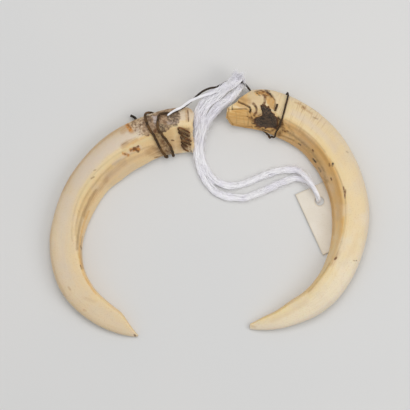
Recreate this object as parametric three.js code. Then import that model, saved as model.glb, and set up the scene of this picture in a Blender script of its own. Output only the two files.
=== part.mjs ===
// A pair of boar tusks lashed together with one length of iron wire.
// A loop of white cotton string hangs over the wire between them and holds a small paper tag.
// Millimetres, +Z up. The tusks lie on the plane Z = 0, root ends at +Y, tips at -Y.
import * as THREE from 'three';

// ------------------------------------------------------------------ driving dimensions

const GAP = 0.3; // left between pieces that touch
const HUG_GAP = 0.46; // the same for wire and pitch, whose facets cut the corners
const WIRE_DIAMETER = 1.4;
const COIL_WIRE_DIAMETER = 1.1;
const STRING_DIAMETER = 3.0; // one leg of the string, a soft bundle of yarns
const TAIL_DIAMETER = 1.2;
const TAG_LENGTH = 40;
const TAG_WIDTH = 23.4;
const TAG_THICKNESS = 0.4;
const TAG_HOLE_RADIUS = 2.6;
const TAG_HOLE_FROM_END = 9.8;

// A tusk bends about a centre in plan. Each station is a cross-section at so many degrees from the
// root end: [degrees, inner radius, ridge radius, outer radius, height of the belly, height of the
// crest], the radii being measured in plan from that centre.
// The break line says how far the broken root end is cut back: [share of the way from the inner to
// the outer edge, degrees].
const LEFT_TUSK = {
  centre: [-30.6, -11.4],
  start: 66.5,
  side: 1,
  stations: [
    [0, 49.7, 66.0, 77.0, 2.5, 15.6],
    [8, 46.5, 63.0, 75.0, 2.5, 16.0],
    [16, 44.2, 60.8, 72.4, 2.5, 16.2],
    [25, 41.6, 57.8, 69.4, 2.5, 16.0],
    [34, 39.1, 54.8, 66.8, 2.5, 15.8],
    [46, 37.5, 50.8, 64.6, 1.6, 15.4],
    [60, 36.4, 48.6, 62.4, 0.2, 15.0],
    [75, 37.4, 48.2, 61.3, -0.2, 14.8],
    [90, 38.5, 48.9, 61.5, -0.3, 14.6],
    [104, 40.5, 50.0, 62.6, -0.1, 14.2],
    [118, 44.0, 50.6, 65.2, 0.4, 13.6],
    [132, 48.2, 51.8, 67.6, 0.8, 12.8],
    [146, 51.6, 53.6, 69.6, 0.9, 11.8],
    [160, 53.0, 55.0, 69.4, 0.7, 10.4],
    [173, 54.2, 56.0, 68.7, 0.2, 8.8],
    [181, 56.0, 57.6, 68.0, -0.1, 7.2],
    [187, 60.4, 61.6, 67.5, -0.1, 5.2],
    [192.3, 65.0, 65.6, 66.8, 0.2, 2.6],
  ],
  breakLine: [
    [0, -2],
    [0.1, -0.7],
    [0.26, 1.4],
    [0.47, 3.7],
    [0.68, 5.2],
    [0.87, 6.2],
    [0.95, 7.6],
    [1, 9.6],
  ],
};
const RIGHT_TUSK = {
  centre: [29.4, -5.4],
  start: 107.5,
  side: -1,
  stations: [
    [0, 57.0, 66.0, 77.0, 2.5, 15.2],
    [8, 54.9, 66.0, 77.2, 2.5, 15.8],
    [15, 53.3, 65.2, 76.9, 2.5, 16.4],
    [22, 51.9, 63.4, 77.3, 2.5, 16.6],
    [30, 49.9, 61.6, 76.0, 2.5, 16.6],
    [40, 48.8, 59.8, 74.2, 1.7, 16.2],
    [52, 47.6, 57.6, 72.2, -0.2, 15.8],
    [64, 45.9, 55.6, 70.2, 0.2, 15.4],
    [78, 44.9, 54.0, 68.2, 1.5, 15.2],
    [92, 44.5, 52.6, 67.2, 1.6, 15.0],
    [107, 44.5, 51.7, 66.8, 1.8, 14.8],
    [122, 45.7, 51.9, 66.3, 1.9, 14.4],
    [137, 47.7, 52.4, 66.9, 1.3, 13.6],
    [152, 50.4, 53.2, 68.3, 0.3, 12.6],
    [165, 52.6, 54.6, 68.5, 0.1, 11.2],
    [177, 53.8, 55.8, 68.0, -0.1, 9.4],
    [187, 57.0, 58.8, 67.8, -0.1, 7.4],
    [195, 59.9, 61.2, 67.5, 0.0, 5.4],
    [201.2, 63.4, 64.2, 67.0, 0.2, 3.2],
  ],
  breakLine: [
    [0, 7.4],
    [0.06, 1.9],
    [0.3, 0],
    [0.57, 2],
    [0.68, 6.6],
    [0.8, 8.8],
    [1, 14.8],
  ],
};
const BREAK_FADE = 42; // degrees over which the cut-back of the break line dies away
const KEEL_HEIGHT = 0.4; // height of the rounded outer edge, as a share of the section's height
const KEEL_ROUND = 0.36; // its radius, as a share of the section's height
const RIDGE_ROUND = 0.15; // radius of the two inner ridges, as a share of the section's height
const CROWN = 0.045; // how much the three faces swell, as a share of the section's width

// The pulp cavity in the root end: its mouth and depth.
const CAVITY_MOUTH = 0.5; // share of the section
const CAVITY_END = 0.12;
const CAVITY_DEPTH = 11; // degrees along the tusk
const CAVITY_STEPS = 3;

// The wire. Its turns round a tusk are [degrees from the root end, angle round the section].
// Angle 0 faces outward, 90 up and -90 down, and it runs on from turn to turn.
const WIRE_FREE_END = [
  [-47.0, 56.1, 3.9],
  [-44.6, 54.9, 3.0],
];
const WIRE_ROUND_LEFT = [
  [34.5, -45],
  [25, -78],
  [18.2, -104],
  [17.2, -140],
  [16.8, -180],
  [18.8, -226],
  [21.5, -234],
  [23.1, -238],
  [24.6, -243],
  [25.9, -256],
  [27.6, -284],
  [28.8, -295],
  [29.3, -305],
  [29.1, -328],
  [28, -362],
  [21, -432],
  [14.2, -464],
  [12.6, -500],
  [12.4, -542],
  [13.2, -588],
  [14.6, -594],
  [17.4, -599],
  [19.5, -603],
  [21.6, -615],
  [22.5, -643],
  [22.6, -652],
  [21.8, -664],
  [20.1, -670],
  [17.1, -668],
  [14.8, -665],
  [11.5, -668],
];
const WIRE_BRIDGE = [
  [-15.4, 61.0, 12.8],
  [-11.4, 63.9, 13.0],
  [-7.8, 67.2, 13.2],
  [-4.2, 70.2, 13.4],
  [0, 72.2, 13.6],
  [4.8, 73.2, 13.7],
  [8.4, 75.0, 13.6],
  [12, 76.7, 13.2],
  [16.2, 77.2, 12.7],
  [20.2, 75.6, 10.9],
  [22.6, 73.8, 8.0],
  [24.4, 71.6, 5.0],
];
const WIRE_UNDER_RIGHT = [
  [9, -72],
  [15.5, -86],
  [18.8, -110],
  [21.4, -138],
  [22.4, -158],
  [23.6, -172],
];
const WIRE_KINK = [36.6, 43.0, 5.4];
const WIRE_OVER_RIGHT = [
  [27.4, 160],
  [29.1, 139],
  [30.3, 132],
  [31, 112],
  [31, 77],
  [30.6, 67],
  [30.1, 39],
  [29.6, 5],
  [29, -45],
];
const WIRE_STUB = [
  [26.0, 70],
  [26.2, 75],
  [26.3, 80],
];
const WIRE_SIDES = 8;
const WIRE_STEP = 2.4;
const WRAP_STEP = 12; // degrees round the section between points of a turn

// The small coil of thinner wire on the left tusk's root end.
const COIL_TURNS = 4;
const COIL_CENTRE = 4.0; // degrees from the root end
const COIL_HALF_WIDTH = 3.3; // degrees
const COIL_FROM_RADIUS = 61.5;
const COIL_TO_RADIUS = 50.5;
const COIL_RISE = 0.95; // half the coil's height above the tusk
const COIL_STEPS = 10; // points to a turn

// The lump of pitch on the right tusk, as an outline in plan round its middle.
const PITCH_MIDDLE = [34.6, 54.3];
const PITCH_THICKNESS = 1.7;
const PITCH_EDGE = 0.2; // thickness at its outline
const PITCH_RINGS = 5;
const PITCH_OUTLINE = [
  [32.4, 63.0],
  [30.8, 61.6],
  [31.6, 56.4],
  [26.9, 53.8],
  [28.0, 50.6],
  [31.4, 48.8],
  [36.4, 48.2],
  [40.4, 48.8],
  [41.9, 52.2],
  [40.2, 55.4],
  [38.0, 58.0],
  [35.6, 61.0],
];

// The string's two legs, from the wire to the tag, and the loose yarn that lies over the wire.
const OUTER_LEG = [
  [17.1, 79.3, 14.9],
  [16.2, 77.7, 15.8],
  [13.8, 75.0, 15.6],
  [9.6, 71.7, 14.0],
  [3.6, 67.2, 12.0],
  [-1.5, 61.8, 10.4],
  [-5.4, 55.2, 8.6],
  [-6.9, 48.0, 6.4],
  [-7.2, 39.6, 4.0],
  [-7.1, 31.8, 2.3],
  [-5.7, 24.6, 1.7],
  [-2.4, 18.3, 1.6],
  [1.5, 12.4, 1.6],
  [7.2, 8.6, 1.6],
  [14.2, 7.1, 1.6],
  [21.6, 6.9, 1.6],
  [27.6, 8.8, 1.6],
  [33.6, 11.4, 1.6],
  [39.6, 14.1, 1.6],
  [45.6, 16.6, 1.6],
  [51.6, 18.4, 1.9],
  [56.1, 17.9, 2.6],
  [59.4, 16.0, 2.9],
  [62.1, 13.2, 3.1],
  [64.2, 9.3, 2.9],
  [65.4, 5.6, 2.8],
];
const INNER_LEG = [
  [17.6, 79.6, 10.4],
  [19.0, 76.4, 8.3],
  [18.4, 72.9, 8.7],
  [15.3, 69.0, 9.6],
  [11.1, 65.1, 9.8],
  [6.3, 60.9, 9.4],
  [1.8, 55.8, 8.2],
  [-1.6, 49.5, 6.2],
  [-3.3, 42.6, 4.4],
  [-3.6, 35.4, 2.6],
  [-2.7, 28.5, 1.8],
  [-0.6, 23.0, 1.6],
  [2.1, 18.9, 1.6],
  [6.3, 15.9, 1.6],
  [11.4, 14.0, 1.6],
  [17.4, 14.3, 1.6],
  [23.4, 16.1, 1.6],
  [29.4, 18.8, 1.6],
  [35.4, 21.3, 1.6],
  [41.4, 23.0, 1.6],
  [47.4, 23.8, 1.6],
  [52.8, 23.6, 1.7],
  [56.4, 21.2, 4.2],
  [59.6, 17.8, 6.0],
  [62.3, 14.2, 6.4],
  [64.5, 10.3, 6.2],
  [66.1, 7.0, 5.8],
];
const LOOSE_YARN = [
  [4.8, 70.5, 14.9],
  [3.0, 69.8, 14.8],
  [1.2, 69.2, 14.7],
  [-0.8, 68.7, 14.6],
  [-2.8, 68.2, 14.8],
  [-4.7, 67.5, 15.0],
  [-6.6, 66.7, 15.3],
  [-8.4, 66.0, 15.4],
  [-10.2, 65.2, 15.4],
  [-12.0, 64.0, 15.2],
  [-13.8, 62.8, 15.0],
  [-15.6, 61.5, 14.9],
  [-17.6, 60.3, 14.8],
  [-20.2, 59.3, 15.2],
  [-22.6, 57.7, 15.8],
  [-24.9, 55.9, 16.1],
];
const STRING_SIDES = 8;
const STRING_STEP = 7.5;
const YARN_STEP = 3;

// The tag: the corner at the upper left in plan, the way its long side runs, and the slope that
// takes its other long side down under the right tusk.
const TAG_CORNER = [51.8, 8.64];
const TAG_LONG_WAY = [0.416, -0.909];
const TAG_SLOPE = 1.5; // degrees
const TAG_LOW_EDGE = 0.1; // height of the low side

const TUSK_SIDES = 28; // points round a tusk's section
const TUSK_STEP = 5; // degrees between sections

// ------------------------------------------------------------------ materials

function material(colour, roughness, metalness = 0) {
  return new THREE.MeshStandardMaterial({ color: colour, roughness, metalness });
}

const enamelPale = material(0xe9dcc4, 0.38);
const enamelWarm = material(0xecd9ae, 0.36);
const rustedIron = material(0x3a2c20, 0.75, 0.5);
const brownWire = material(0x4a3018, 0.7, 0.4);
const pitch = material(0x3b2f2a, 0.8);
const cotton = material(0xe6e4ec, 0.95);
const paper = material(0xe8e0d0, 0.9);

// ------------------------------------------------------------------ closed solids

// A closed body from rings of points: neighbouring rings are joined, and both ends are capped.
function loft(rings) {
  const count = rings[0].length;
  const triangles = [];
  for (let ring = 0; ring + 1 < rings.length; ring += 1) {
    for (let i = 0; i < count; i += 1) {
      const next = (i + 1) % count;
      triangles.push(rings[ring][i], rings[ring][next], rings[ring + 1][next]);
      triangles.push(rings[ring][i], rings[ring + 1][next], rings[ring + 1][i]);
    }
  }
  const last = rings.length - 1;
  const firstMiddle = middleOf(rings[0]);
  const lastMiddle = middleOf(rings[last]);
  for (let i = 0; i < count; i += 1) {
    const next = (i + 1) % count;
    triangles.push(firstMiddle, rings[0][next], rings[0][i]);
    triangles.push(lastMiddle, rings[last][i], rings[last][next]);
  }
  return facingOut(triangles);
}

function middleOf(points) {
  const middle = new THREE.Vector3();
  points.forEach((point) => middle.add(point));
  return middle.divideScalar(points.length);
}

// The triangles as a geometry, turned about where their signed volume says they face inward.
function facingOut(points) {
  let volume = 0;
  for (let i = 0; i < points.length; i += 3) {
    volume += points[i].dot(new THREE.Vector3().crossVectors(points[i + 1], points[i + 2]));
  }
  const ordered = volume < 0 ? points.slice().reverse() : points;
  return new THREE.BufferGeometry().setFromPoints(ordered);
}

// A tube along a smooth curve through the points.
function tube(points, diameter, sides, step) {
  const curve = new THREE.CatmullRomCurve3(points);
  const section = new THREE.Shape();
  for (let i = 0; i < sides; i += 1) {
    const angle = (2 * Math.PI * i) / sides;
    const corner = [Math.cos(angle) * diameter / 2, Math.sin(angle) * diameter / 2];
    if (i === 0) section.moveTo(...corner);
    else section.lineTo(...corner);
  }
  section.closePath();
  const steps = Math.ceil(curve.getLength() / step);
  return new THREE.ExtrudeGeometry(section, { steps, extrudePath: curve });
}

const vectors = (rows) => rows.map((row) => new THREE.Vector3(...row));

// ------------------------------------------------------------------ the form of a tusk

// One column of the stations at the given degrees, on a smooth curve through them.
function stationValue(stations, columnIndex, at) {
  const last = stations.length - 1;
  const place = THREE.MathUtils.clamp(at, 0, stations[last][0]);
  let k = 0;
  while (k < last - 1 && place > stations[k + 1][0]) k += 1;
  const rise = (i) =>
    (stations[i + 1][columnIndex] - stations[i][columnIndex]) / (stations[i + 1][0] - stations[i][0]);
  const slope = (i) => {
    if (i === 0) return rise(0);
    if (i === last) return rise(last - 1);
    const before = stations[i][0] - stations[i - 1][0];
    const after = stations[i + 1][0] - stations[i][0];
    return (rise(i - 1) * after + rise(i) * before) / (before + after);
  };
  const span = stations[k + 1][0] - stations[k][0];
  const t = (place - stations[k][0]) / span;
  const fromStart = (2 * t ** 3 - 3 * t ** 2 + 1) * stations[k][columnIndex];
  const fromEnd = (3 * t ** 2 - 2 * t ** 3) * stations[k + 1][columnIndex];
  const startSlope = (t ** 3 - 2 * t ** 2 + t) * span * slope(k);
  const endSlope = (t ** 3 - t ** 2) * span * slope(k + 1);
  return fromStart + fromEnd + startSlope + endSlope;
}

// The section is a rounded triangle about three discs: the keel at the outer edge, the ridge on
// top and the lower inner ridge.
function sectionAt(tusk, at) {
  const [inner, ridge, outer, belly, crest] = [1, 2, 3, 4, 5].map((column) =>
    stationValue(tusk.stations, column, at));
  const height = crest - belly;
  const size = Math.min(height, outer - inner);
  const keelRadius = KEEL_ROUND * size;
  const ridgeRadius = RIDGE_ROUND * size;
  return {
    inner,
    outer,
    crown: CROWN * (outer - inner),
    middle: [(inner + outer) / 2, (belly + crest) / 2],
    discs: [
      { x: outer - keelRadius, z: belly + KEEL_HEIGHT * height, r: keelRadius },
      { x: Math.max(ridge, inner + ridgeRadius), z: crest - ridgeRadius, r: ridgeRadius },
      { x: inner + ridgeRadius, z: belly + ridgeRadius, r: ridgeRadius },
    ],
  };
}

// The section's point whose outward normal has the given angle, raised by lift off the surface.
// The support distance is a soft maximum over the discs, so the faces between them are crowned.
function sectionPoint(section, angle, lift) {
  const out = Math.cos(angle);
  const up = Math.sin(angle);
  const reaches = section.discs.map((disc) => disc.x * out + disc.z * up + disc.r);
  const farthest = Math.max(...reaches);
  const weights = reaches.map((reach) => Math.exp((reach - farthest) / section.crown));
  const total = weights.reduce((sum, weight) => sum + weight, 0);
  const support = farthest + section.crown * Math.log(total) + lift;
  let turn = 0;
  section.discs.forEach((disc, i) => {
    turn += (weights[i] / total) * (disc.z * out - disc.x * up);
  });
  return [support * out - turn * up, support * up + turn * out];
}

// How many degrees the broken root end is cut back at this share of the way across the section.
function breakAt(tusk, across) {
  const line = tusk.breakLine;
  for (let i = 0; i + 1 < line.length; i += 1) {
    const [fromAcross, fromDegrees] = line[i];
    const [toAcross, toDegrees] = line[i + 1];
    if (across <= toAcross) {
      const t = THREE.MathUtils.clamp((across - fromAcross) / (toAcross - fromAcross), 0, 1);
      return THREE.MathUtils.lerp(fromDegrees, toDegrees, t);
    }
  }
  return line[line.length - 1][1];
}

// Where a point of the section lies: inside it where the share is under 1.
function placeInSection(section, radians, lift, share) {
  const [radius, height] = sectionPoint(section, radians, lift);
  return [
    THREE.MathUtils.lerp(section.middle[0], radius, share),
    THREE.MathUtils.lerp(section.middle[1], height, share),
  ];
}

// A point of the tusk's surface: degrees from the root end, angle round the section in degrees,
// lift off the surface, and the share of the section for points inside it.
function tuskPoint(tusk, at, angle, lift = 0, share = 1) {
  const radians = THREE.MathUtils.degToRad(angle);
  const unbroken = sectionAt(tusk, at);
  const [unbrokenRadius] = placeInSection(unbroken, radians, lift, share);
  const across = (unbrokenRadius - unbroken.inner) / (unbroken.outer - unbroken.inner);
  const fade = Math.max(0, 1 - Math.max(at, 0) / BREAK_FADE) ** 2;
  const place = at + breakAt(tusk, across) * fade;
  const [radius, height] = placeInSection(sectionAt(tusk, place), radians, lift, share);
  const azimuth = THREE.MathUtils.degToRad(tusk.start + tusk.side * place);
  return new THREE.Vector3(
    tusk.centre[0] + radius * Math.cos(azimuth),
    tusk.centre[1] + radius * Math.sin(azimuth),
    height,
  );
}

function tuskRing(tusk, at, share) {
  const ring = [];
  for (let i = 0; i < TUSK_SIDES; i += 1) {
    const point = tuskPoint(tusk, at, (360 * (i + 0.5)) / TUSK_SIDES, 0, share);
    point.z = Math.max(point.z, 0); // worn flat where it rests
    ring.push(point);
  }
  return ring;
}

// The rings run from the bottom of the pulp cavity out over the broken end and along to the tip.
function tuskGeometry(tusk) {
  const tip = tusk.stations[tusk.stations.length - 1][0];
  const rings = [];
  for (let i = CAVITY_STEPS; i >= 0; i -= 1) {
    const depth = i / CAVITY_STEPS;
    const share = THREE.MathUtils.lerp(CAVITY_MOUTH, CAVITY_END, depth ** 1.5);
    rings.push(tuskRing(tusk, CAVITY_DEPTH * depth, share));
  }
  const steps = Math.ceil(tip / TUSK_STEP);
  for (let i = 0; i <= steps; i += 1) rings.push(tuskRing(tusk, (tip * i) / steps, 1));
  return loft(rings);
}

// The angle round the section at which its upper side has this radius in plan.
function angleAtRadius(tusk, at, radius) {
  const section = sectionAt(tusk, at);
  let low = 0;
  let high = Math.PI;
  for (let i = 0; i < 40; i += 1) {
    const half = (low + high) / 2;
    if (sectionPoint(section, half, 0)[0] > radius) low = half;
    else high = half;
  }
  return THREE.MathUtils.radToDeg(low);
}

// Height of the tusk's upper surface above a point in plan.
function heightAbove(tusk, x, y) {
  const dx = x - tusk.centre[0];
  const dy = y - tusk.centre[1];
  const azimuth = THREE.MathUtils.radToDeg(Math.atan2(dy, dx));
  const at = (azimuth - tusk.start) * tusk.side;
  const radius = Math.hypot(dx, dy);
  const angle = THREE.MathUtils.degToRad(angleAtRadius(tusk, at, radius));
  return sectionPoint(sectionAt(tusk, at), angle, 0)[1];
}

// ------------------------------------------------------------------ wires

// Points along a wire that hugs the tusk, with steps of a few degrees round the section.
function wrapPoints(tusk, turns, diameter) {
  const lift = diameter / 2 + HUG_GAP;
  const points = [];
  for (let i = 0; i + 1 < turns.length; i += 1) {
    const [fromAt, fromAngle] = turns[i];
    const [toAt, toAngle] = turns[i + 1];
    const steps = Math.ceil(Math.abs(toAngle - fromAngle) / WRAP_STEP) + 1;
    for (let k = 0; k < steps; k += 1) {
      const t = k / steps;
      const at = THREE.MathUtils.lerp(fromAt, toAt, t);
      const angle = THREE.MathUtils.lerp(fromAngle, toAngle, t);
      points.push(tuskPoint(tusk, at, angle, lift));
    }
  }
  points.push(tuskPoint(tusk, ...turns[turns.length - 1], lift));
  return points;
}

function lashingWire() {
  const points = [
    ...vectors(WIRE_FREE_END),
    ...wrapPoints(LEFT_TUSK, WIRE_ROUND_LEFT, WIRE_DIAMETER),
    ...vectors(WIRE_BRIDGE),
    ...wrapPoints(RIGHT_TUSK, WIRE_UNDER_RIGHT, WIRE_DIAMETER),
    new THREE.Vector3(...WIRE_KINK),
    ...wrapPoints(RIGHT_TUSK, WIRE_OVER_RIGHT, WIRE_DIAMETER),
  ];
  return tube(points, WIRE_DIAMETER, WIRE_SIDES, WIRE_STEP);
}

function wireStub() {
  return tube(wrapPoints(RIGHT_TUSK, WIRE_STUB, WIRE_DIAMETER), WIRE_DIAMETER, WIRE_SIDES, WIRE_STEP);
}

function endCoil() {
  const points = [];
  const lowest = COIL_WIRE_DIAMETER / 2 + GAP;
  for (let i = 0; i <= COIL_TURNS * COIL_STEPS; i += 1) {
    const turn = (2 * Math.PI * i) / COIL_STEPS;
    const along = i / (COIL_TURNS * COIL_STEPS);
    const radius = THREE.MathUtils.lerp(COIL_FROM_RADIUS, COIL_TO_RADIUS, along);
    const at = COIL_CENTRE + COIL_HALF_WIDTH * Math.cos(turn);
    const lift = lowest + COIL_RISE * (1 + Math.sin(turn));
    const angle = angleAtRadius(LEFT_TUSK, at, radius);
    points.push(tuskPoint(LEFT_TUSK, at, angle, lift));
  }
  return tube(points, COIL_WIRE_DIAMETER, WIRE_SIDES, COIL_WIRE_DIAMETER);
}

// ------------------------------------------------------------------ pitch, string and tag

// A dome that lies on the right tusk: rings of the outline, shrunk step by step to its middle.
function pitchLump() {
  const [middleX, middleY] = PITCH_MIDDLE;
  const outline = new THREE.SplineCurve(PITCH_OUTLINE.map((point) => new THREE.Vector2(...point)));
  const rim = outline.getPoints(2 * PITCH_OUTLINE.length);
  const ringOf = (share, thickness) =>
    rim.map((point) => {
      const x = middleX + share * (point.x - middleX);
      const y = middleY + share * (point.y - middleY);
      return new THREE.Vector3(x, y, heightAbove(RIGHT_TUSK, x, y) + HUG_GAP + thickness);
    });
  const rings = [];
  for (let i = 1; i <= PITCH_RINGS; i += 1) rings.push(ringOf(i / PITCH_RINGS, 0));
  for (let i = PITCH_RINGS; i >= 1; i -= 1) {
    const share = i / PITCH_RINGS;
    const rise = (PITCH_THICKNESS - PITCH_EDGE) * Math.sqrt(1 - share ** 2);
    rings.push(ringOf(share, PITCH_EDGE + rise));
  }
  return loft(rings);
}

// The tag in its own plane: long side along X, short side along Y, and turned into place below.
function tagMesh() {
  const outline = new THREE.Shape();
  outline.moveTo(0, 0);
  outline.lineTo(TAG_LENGTH, 0);
  outline.lineTo(TAG_LENGTH, TAG_WIDTH);
  outline.lineTo(0, TAG_WIDTH);
  outline.closePath();
  const hole = new THREE.Path();
  hole.absarc(TAG_HOLE_FROM_END, TAG_WIDTH / 2, TAG_HOLE_RADIUS, 0, 2 * Math.PI);
  outline.holes.push(hole);
  const options = { depth: TAG_THICKNESS, bevelEnabled: false, curveSegments: 10 };
  const tag = new THREE.Mesh(new THREE.ExtrudeGeometry(outline, options), paper);
  tag.name = 'paper_tag';
  const slope = THREE.MathUtils.degToRad(TAG_SLOPE);
  const longWay = new THREE.Vector3(TAG_LONG_WAY[0], TAG_LONG_WAY[1], 0).normalize();
  const shortWay = new THREE.Vector3(-longWay.y * Math.cos(slope), longWay.x * Math.cos(slope), 0);
  shortWay.z = -Math.sin(slope);
  const normal = new THREE.Vector3().crossVectors(longWay, shortWay);
  const turn = new THREE.Matrix4().makeBasis(longWay, shortWay, normal);
  tag.quaternion.setFromRotationMatrix(turn);
  tag.position.set(...TAG_CORNER, TAG_LOW_EDGE + TAG_WIDTH * Math.sin(slope));
  return tag;
}

function stringTube(points, diameter, step) {
  return tube(vectors(points), diameter, STRING_SIDES, step);
}

// ------------------------------------------------------------------ assembly

const tuskPair = new THREE.Group();

function add(name, geometry, finish) {
  const mesh = new THREE.Mesh(geometry, finish);
  mesh.name = name;
  tuskPair.add(mesh);
}

add('tusk_left', tuskGeometry(LEFT_TUSK), enamelPale);
add('tusk_right', tuskGeometry(RIGHT_TUSK), enamelWarm);
add('lashing_wire', lashingWire(), rustedIron);
add('wire_stub', wireStub(), rustedIron);
add('end_coil', endCoil(), brownWire);
add('pitch_lump', pitchLump(), pitch);
add('string_leg_outer', stringTube(OUTER_LEG, STRING_DIAMETER, STRING_STEP), cotton);
add('string_leg_inner', stringTube(INNER_LEG, STRING_DIAMETER, STRING_STEP), cotton);
add('string_loose_yarn', stringTube(LOOSE_YARN, TAIL_DIAMETER, YARN_STEP), cotton);
tuskPair.add(tagMesh());

export default tuskPair;
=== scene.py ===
"""A pair of boar tusks lashed with one iron wire, with a cotton string over the wire and a paper tag.
Lengths are in millimetres until a mesh is made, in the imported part's frame: +X across the pair,
+Y towards the root ends, +Z up."""

import itertools
import math

import bpy
import numpy as np
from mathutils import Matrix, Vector
from mathutils.bvhtree import BVHTree


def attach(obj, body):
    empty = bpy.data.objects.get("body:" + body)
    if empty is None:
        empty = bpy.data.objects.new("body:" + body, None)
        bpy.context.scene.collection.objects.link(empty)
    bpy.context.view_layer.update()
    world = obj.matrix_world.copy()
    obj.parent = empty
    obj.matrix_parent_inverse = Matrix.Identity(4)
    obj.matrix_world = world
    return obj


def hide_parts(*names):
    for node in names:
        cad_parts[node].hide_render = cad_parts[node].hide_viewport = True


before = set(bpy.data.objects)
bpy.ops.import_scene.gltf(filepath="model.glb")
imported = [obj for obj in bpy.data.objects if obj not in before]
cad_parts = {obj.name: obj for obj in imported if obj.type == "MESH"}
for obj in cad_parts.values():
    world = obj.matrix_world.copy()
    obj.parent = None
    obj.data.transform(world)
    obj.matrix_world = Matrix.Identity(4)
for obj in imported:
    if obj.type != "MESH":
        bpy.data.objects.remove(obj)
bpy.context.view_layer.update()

MM = 0.001

# ------------------------------------------------------------------ camera and light

VIEW_WIDTH = 246.0  # of the picture, at the tusks' middle height
VIEW_MIDDLE = (-2.4, 2.4)
MIDDLE_HEIGHT = 8.0
LENS = 500.0
SENSOR = 36.0

# Each light: where it stands, its width and height, its power in watts and its colour.
LIGHTS = {
    "key": ((680, -60, 720), (600, 600), 2.45, (1.0, 0.985, 0.96)),
    "fill": ((-700, 60, 620), (1000, 1000), 0.95, (0.98, 0.985, 1.0)),
    "top": ((0, 620, 1500), (1000, 1000), 8.0, (1.0, 1.0, 1.0)),
}
WORLD_COLOUR = (0.98, 0.985, 1.0, 1.0)
WORLD_STRENGTH = 0.42
FLOOR_HALF = 3000.0
LOWEST = 0.02  # height that no point of a tusk or a wire goes below
# Where the random numbers of each piece start.
SEEDS = {
    "lashing": 31, "stub": 37, "coil": 41, "pitch": 51, "outer": 61, "inner": 67, "yarn": 71,
    "fibres": 83, "tag": 91,
}

# ------------------------------------------------------------------ the tusks

# Each tusk curves round its centre from the angle "start" on, by its side 1 for anticlockwise or -1.
# "stations": a cross-section at so many degrees from the root end, [degrees, inner radius, ridge
# radius, outer radius, height of the belly, height of the crest].
# "break_line": how far the broken end stands back, [share of the width, degrees].
# "near" and "far": colours from the inner edge (0) over the ridge (0.5) to the outer edge (1), near
# the root end and near the tip, [place, red, green, blue]. "change": shares of the length between
# which one gives way to the other. "hairlines": how strongly fine lines cross the enamel.
# "strokes": marks placed in plan on squares of 0.6 mm, counted right and down from the corner of
# the first square, which plan() turns into millimetres. For each kind of mark they are rows of
# [half width in mm, softness in mm, strength, place, place...].
# "streaks": the same, with each place as [degrees from the root end, radius in mm].
# "areas": filled outlines, [kind, softness, strength, place, place...].
# "grooves": cuts, [half width, softness, depth, place, place...].
# "step": an outline within which bare dentine stands lower than the enamel.
SQUARE = 0.6
ZERO_SQUARE = 209.0
STEP_DEPTH = 0.7
MARK_KINDS = (
    "milk", "straw", "sand", "mauve", "tan", "gold", "line",
    "resin", "dark_resin", "pale_resin", "rust", "brown", "dark",
)
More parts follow.
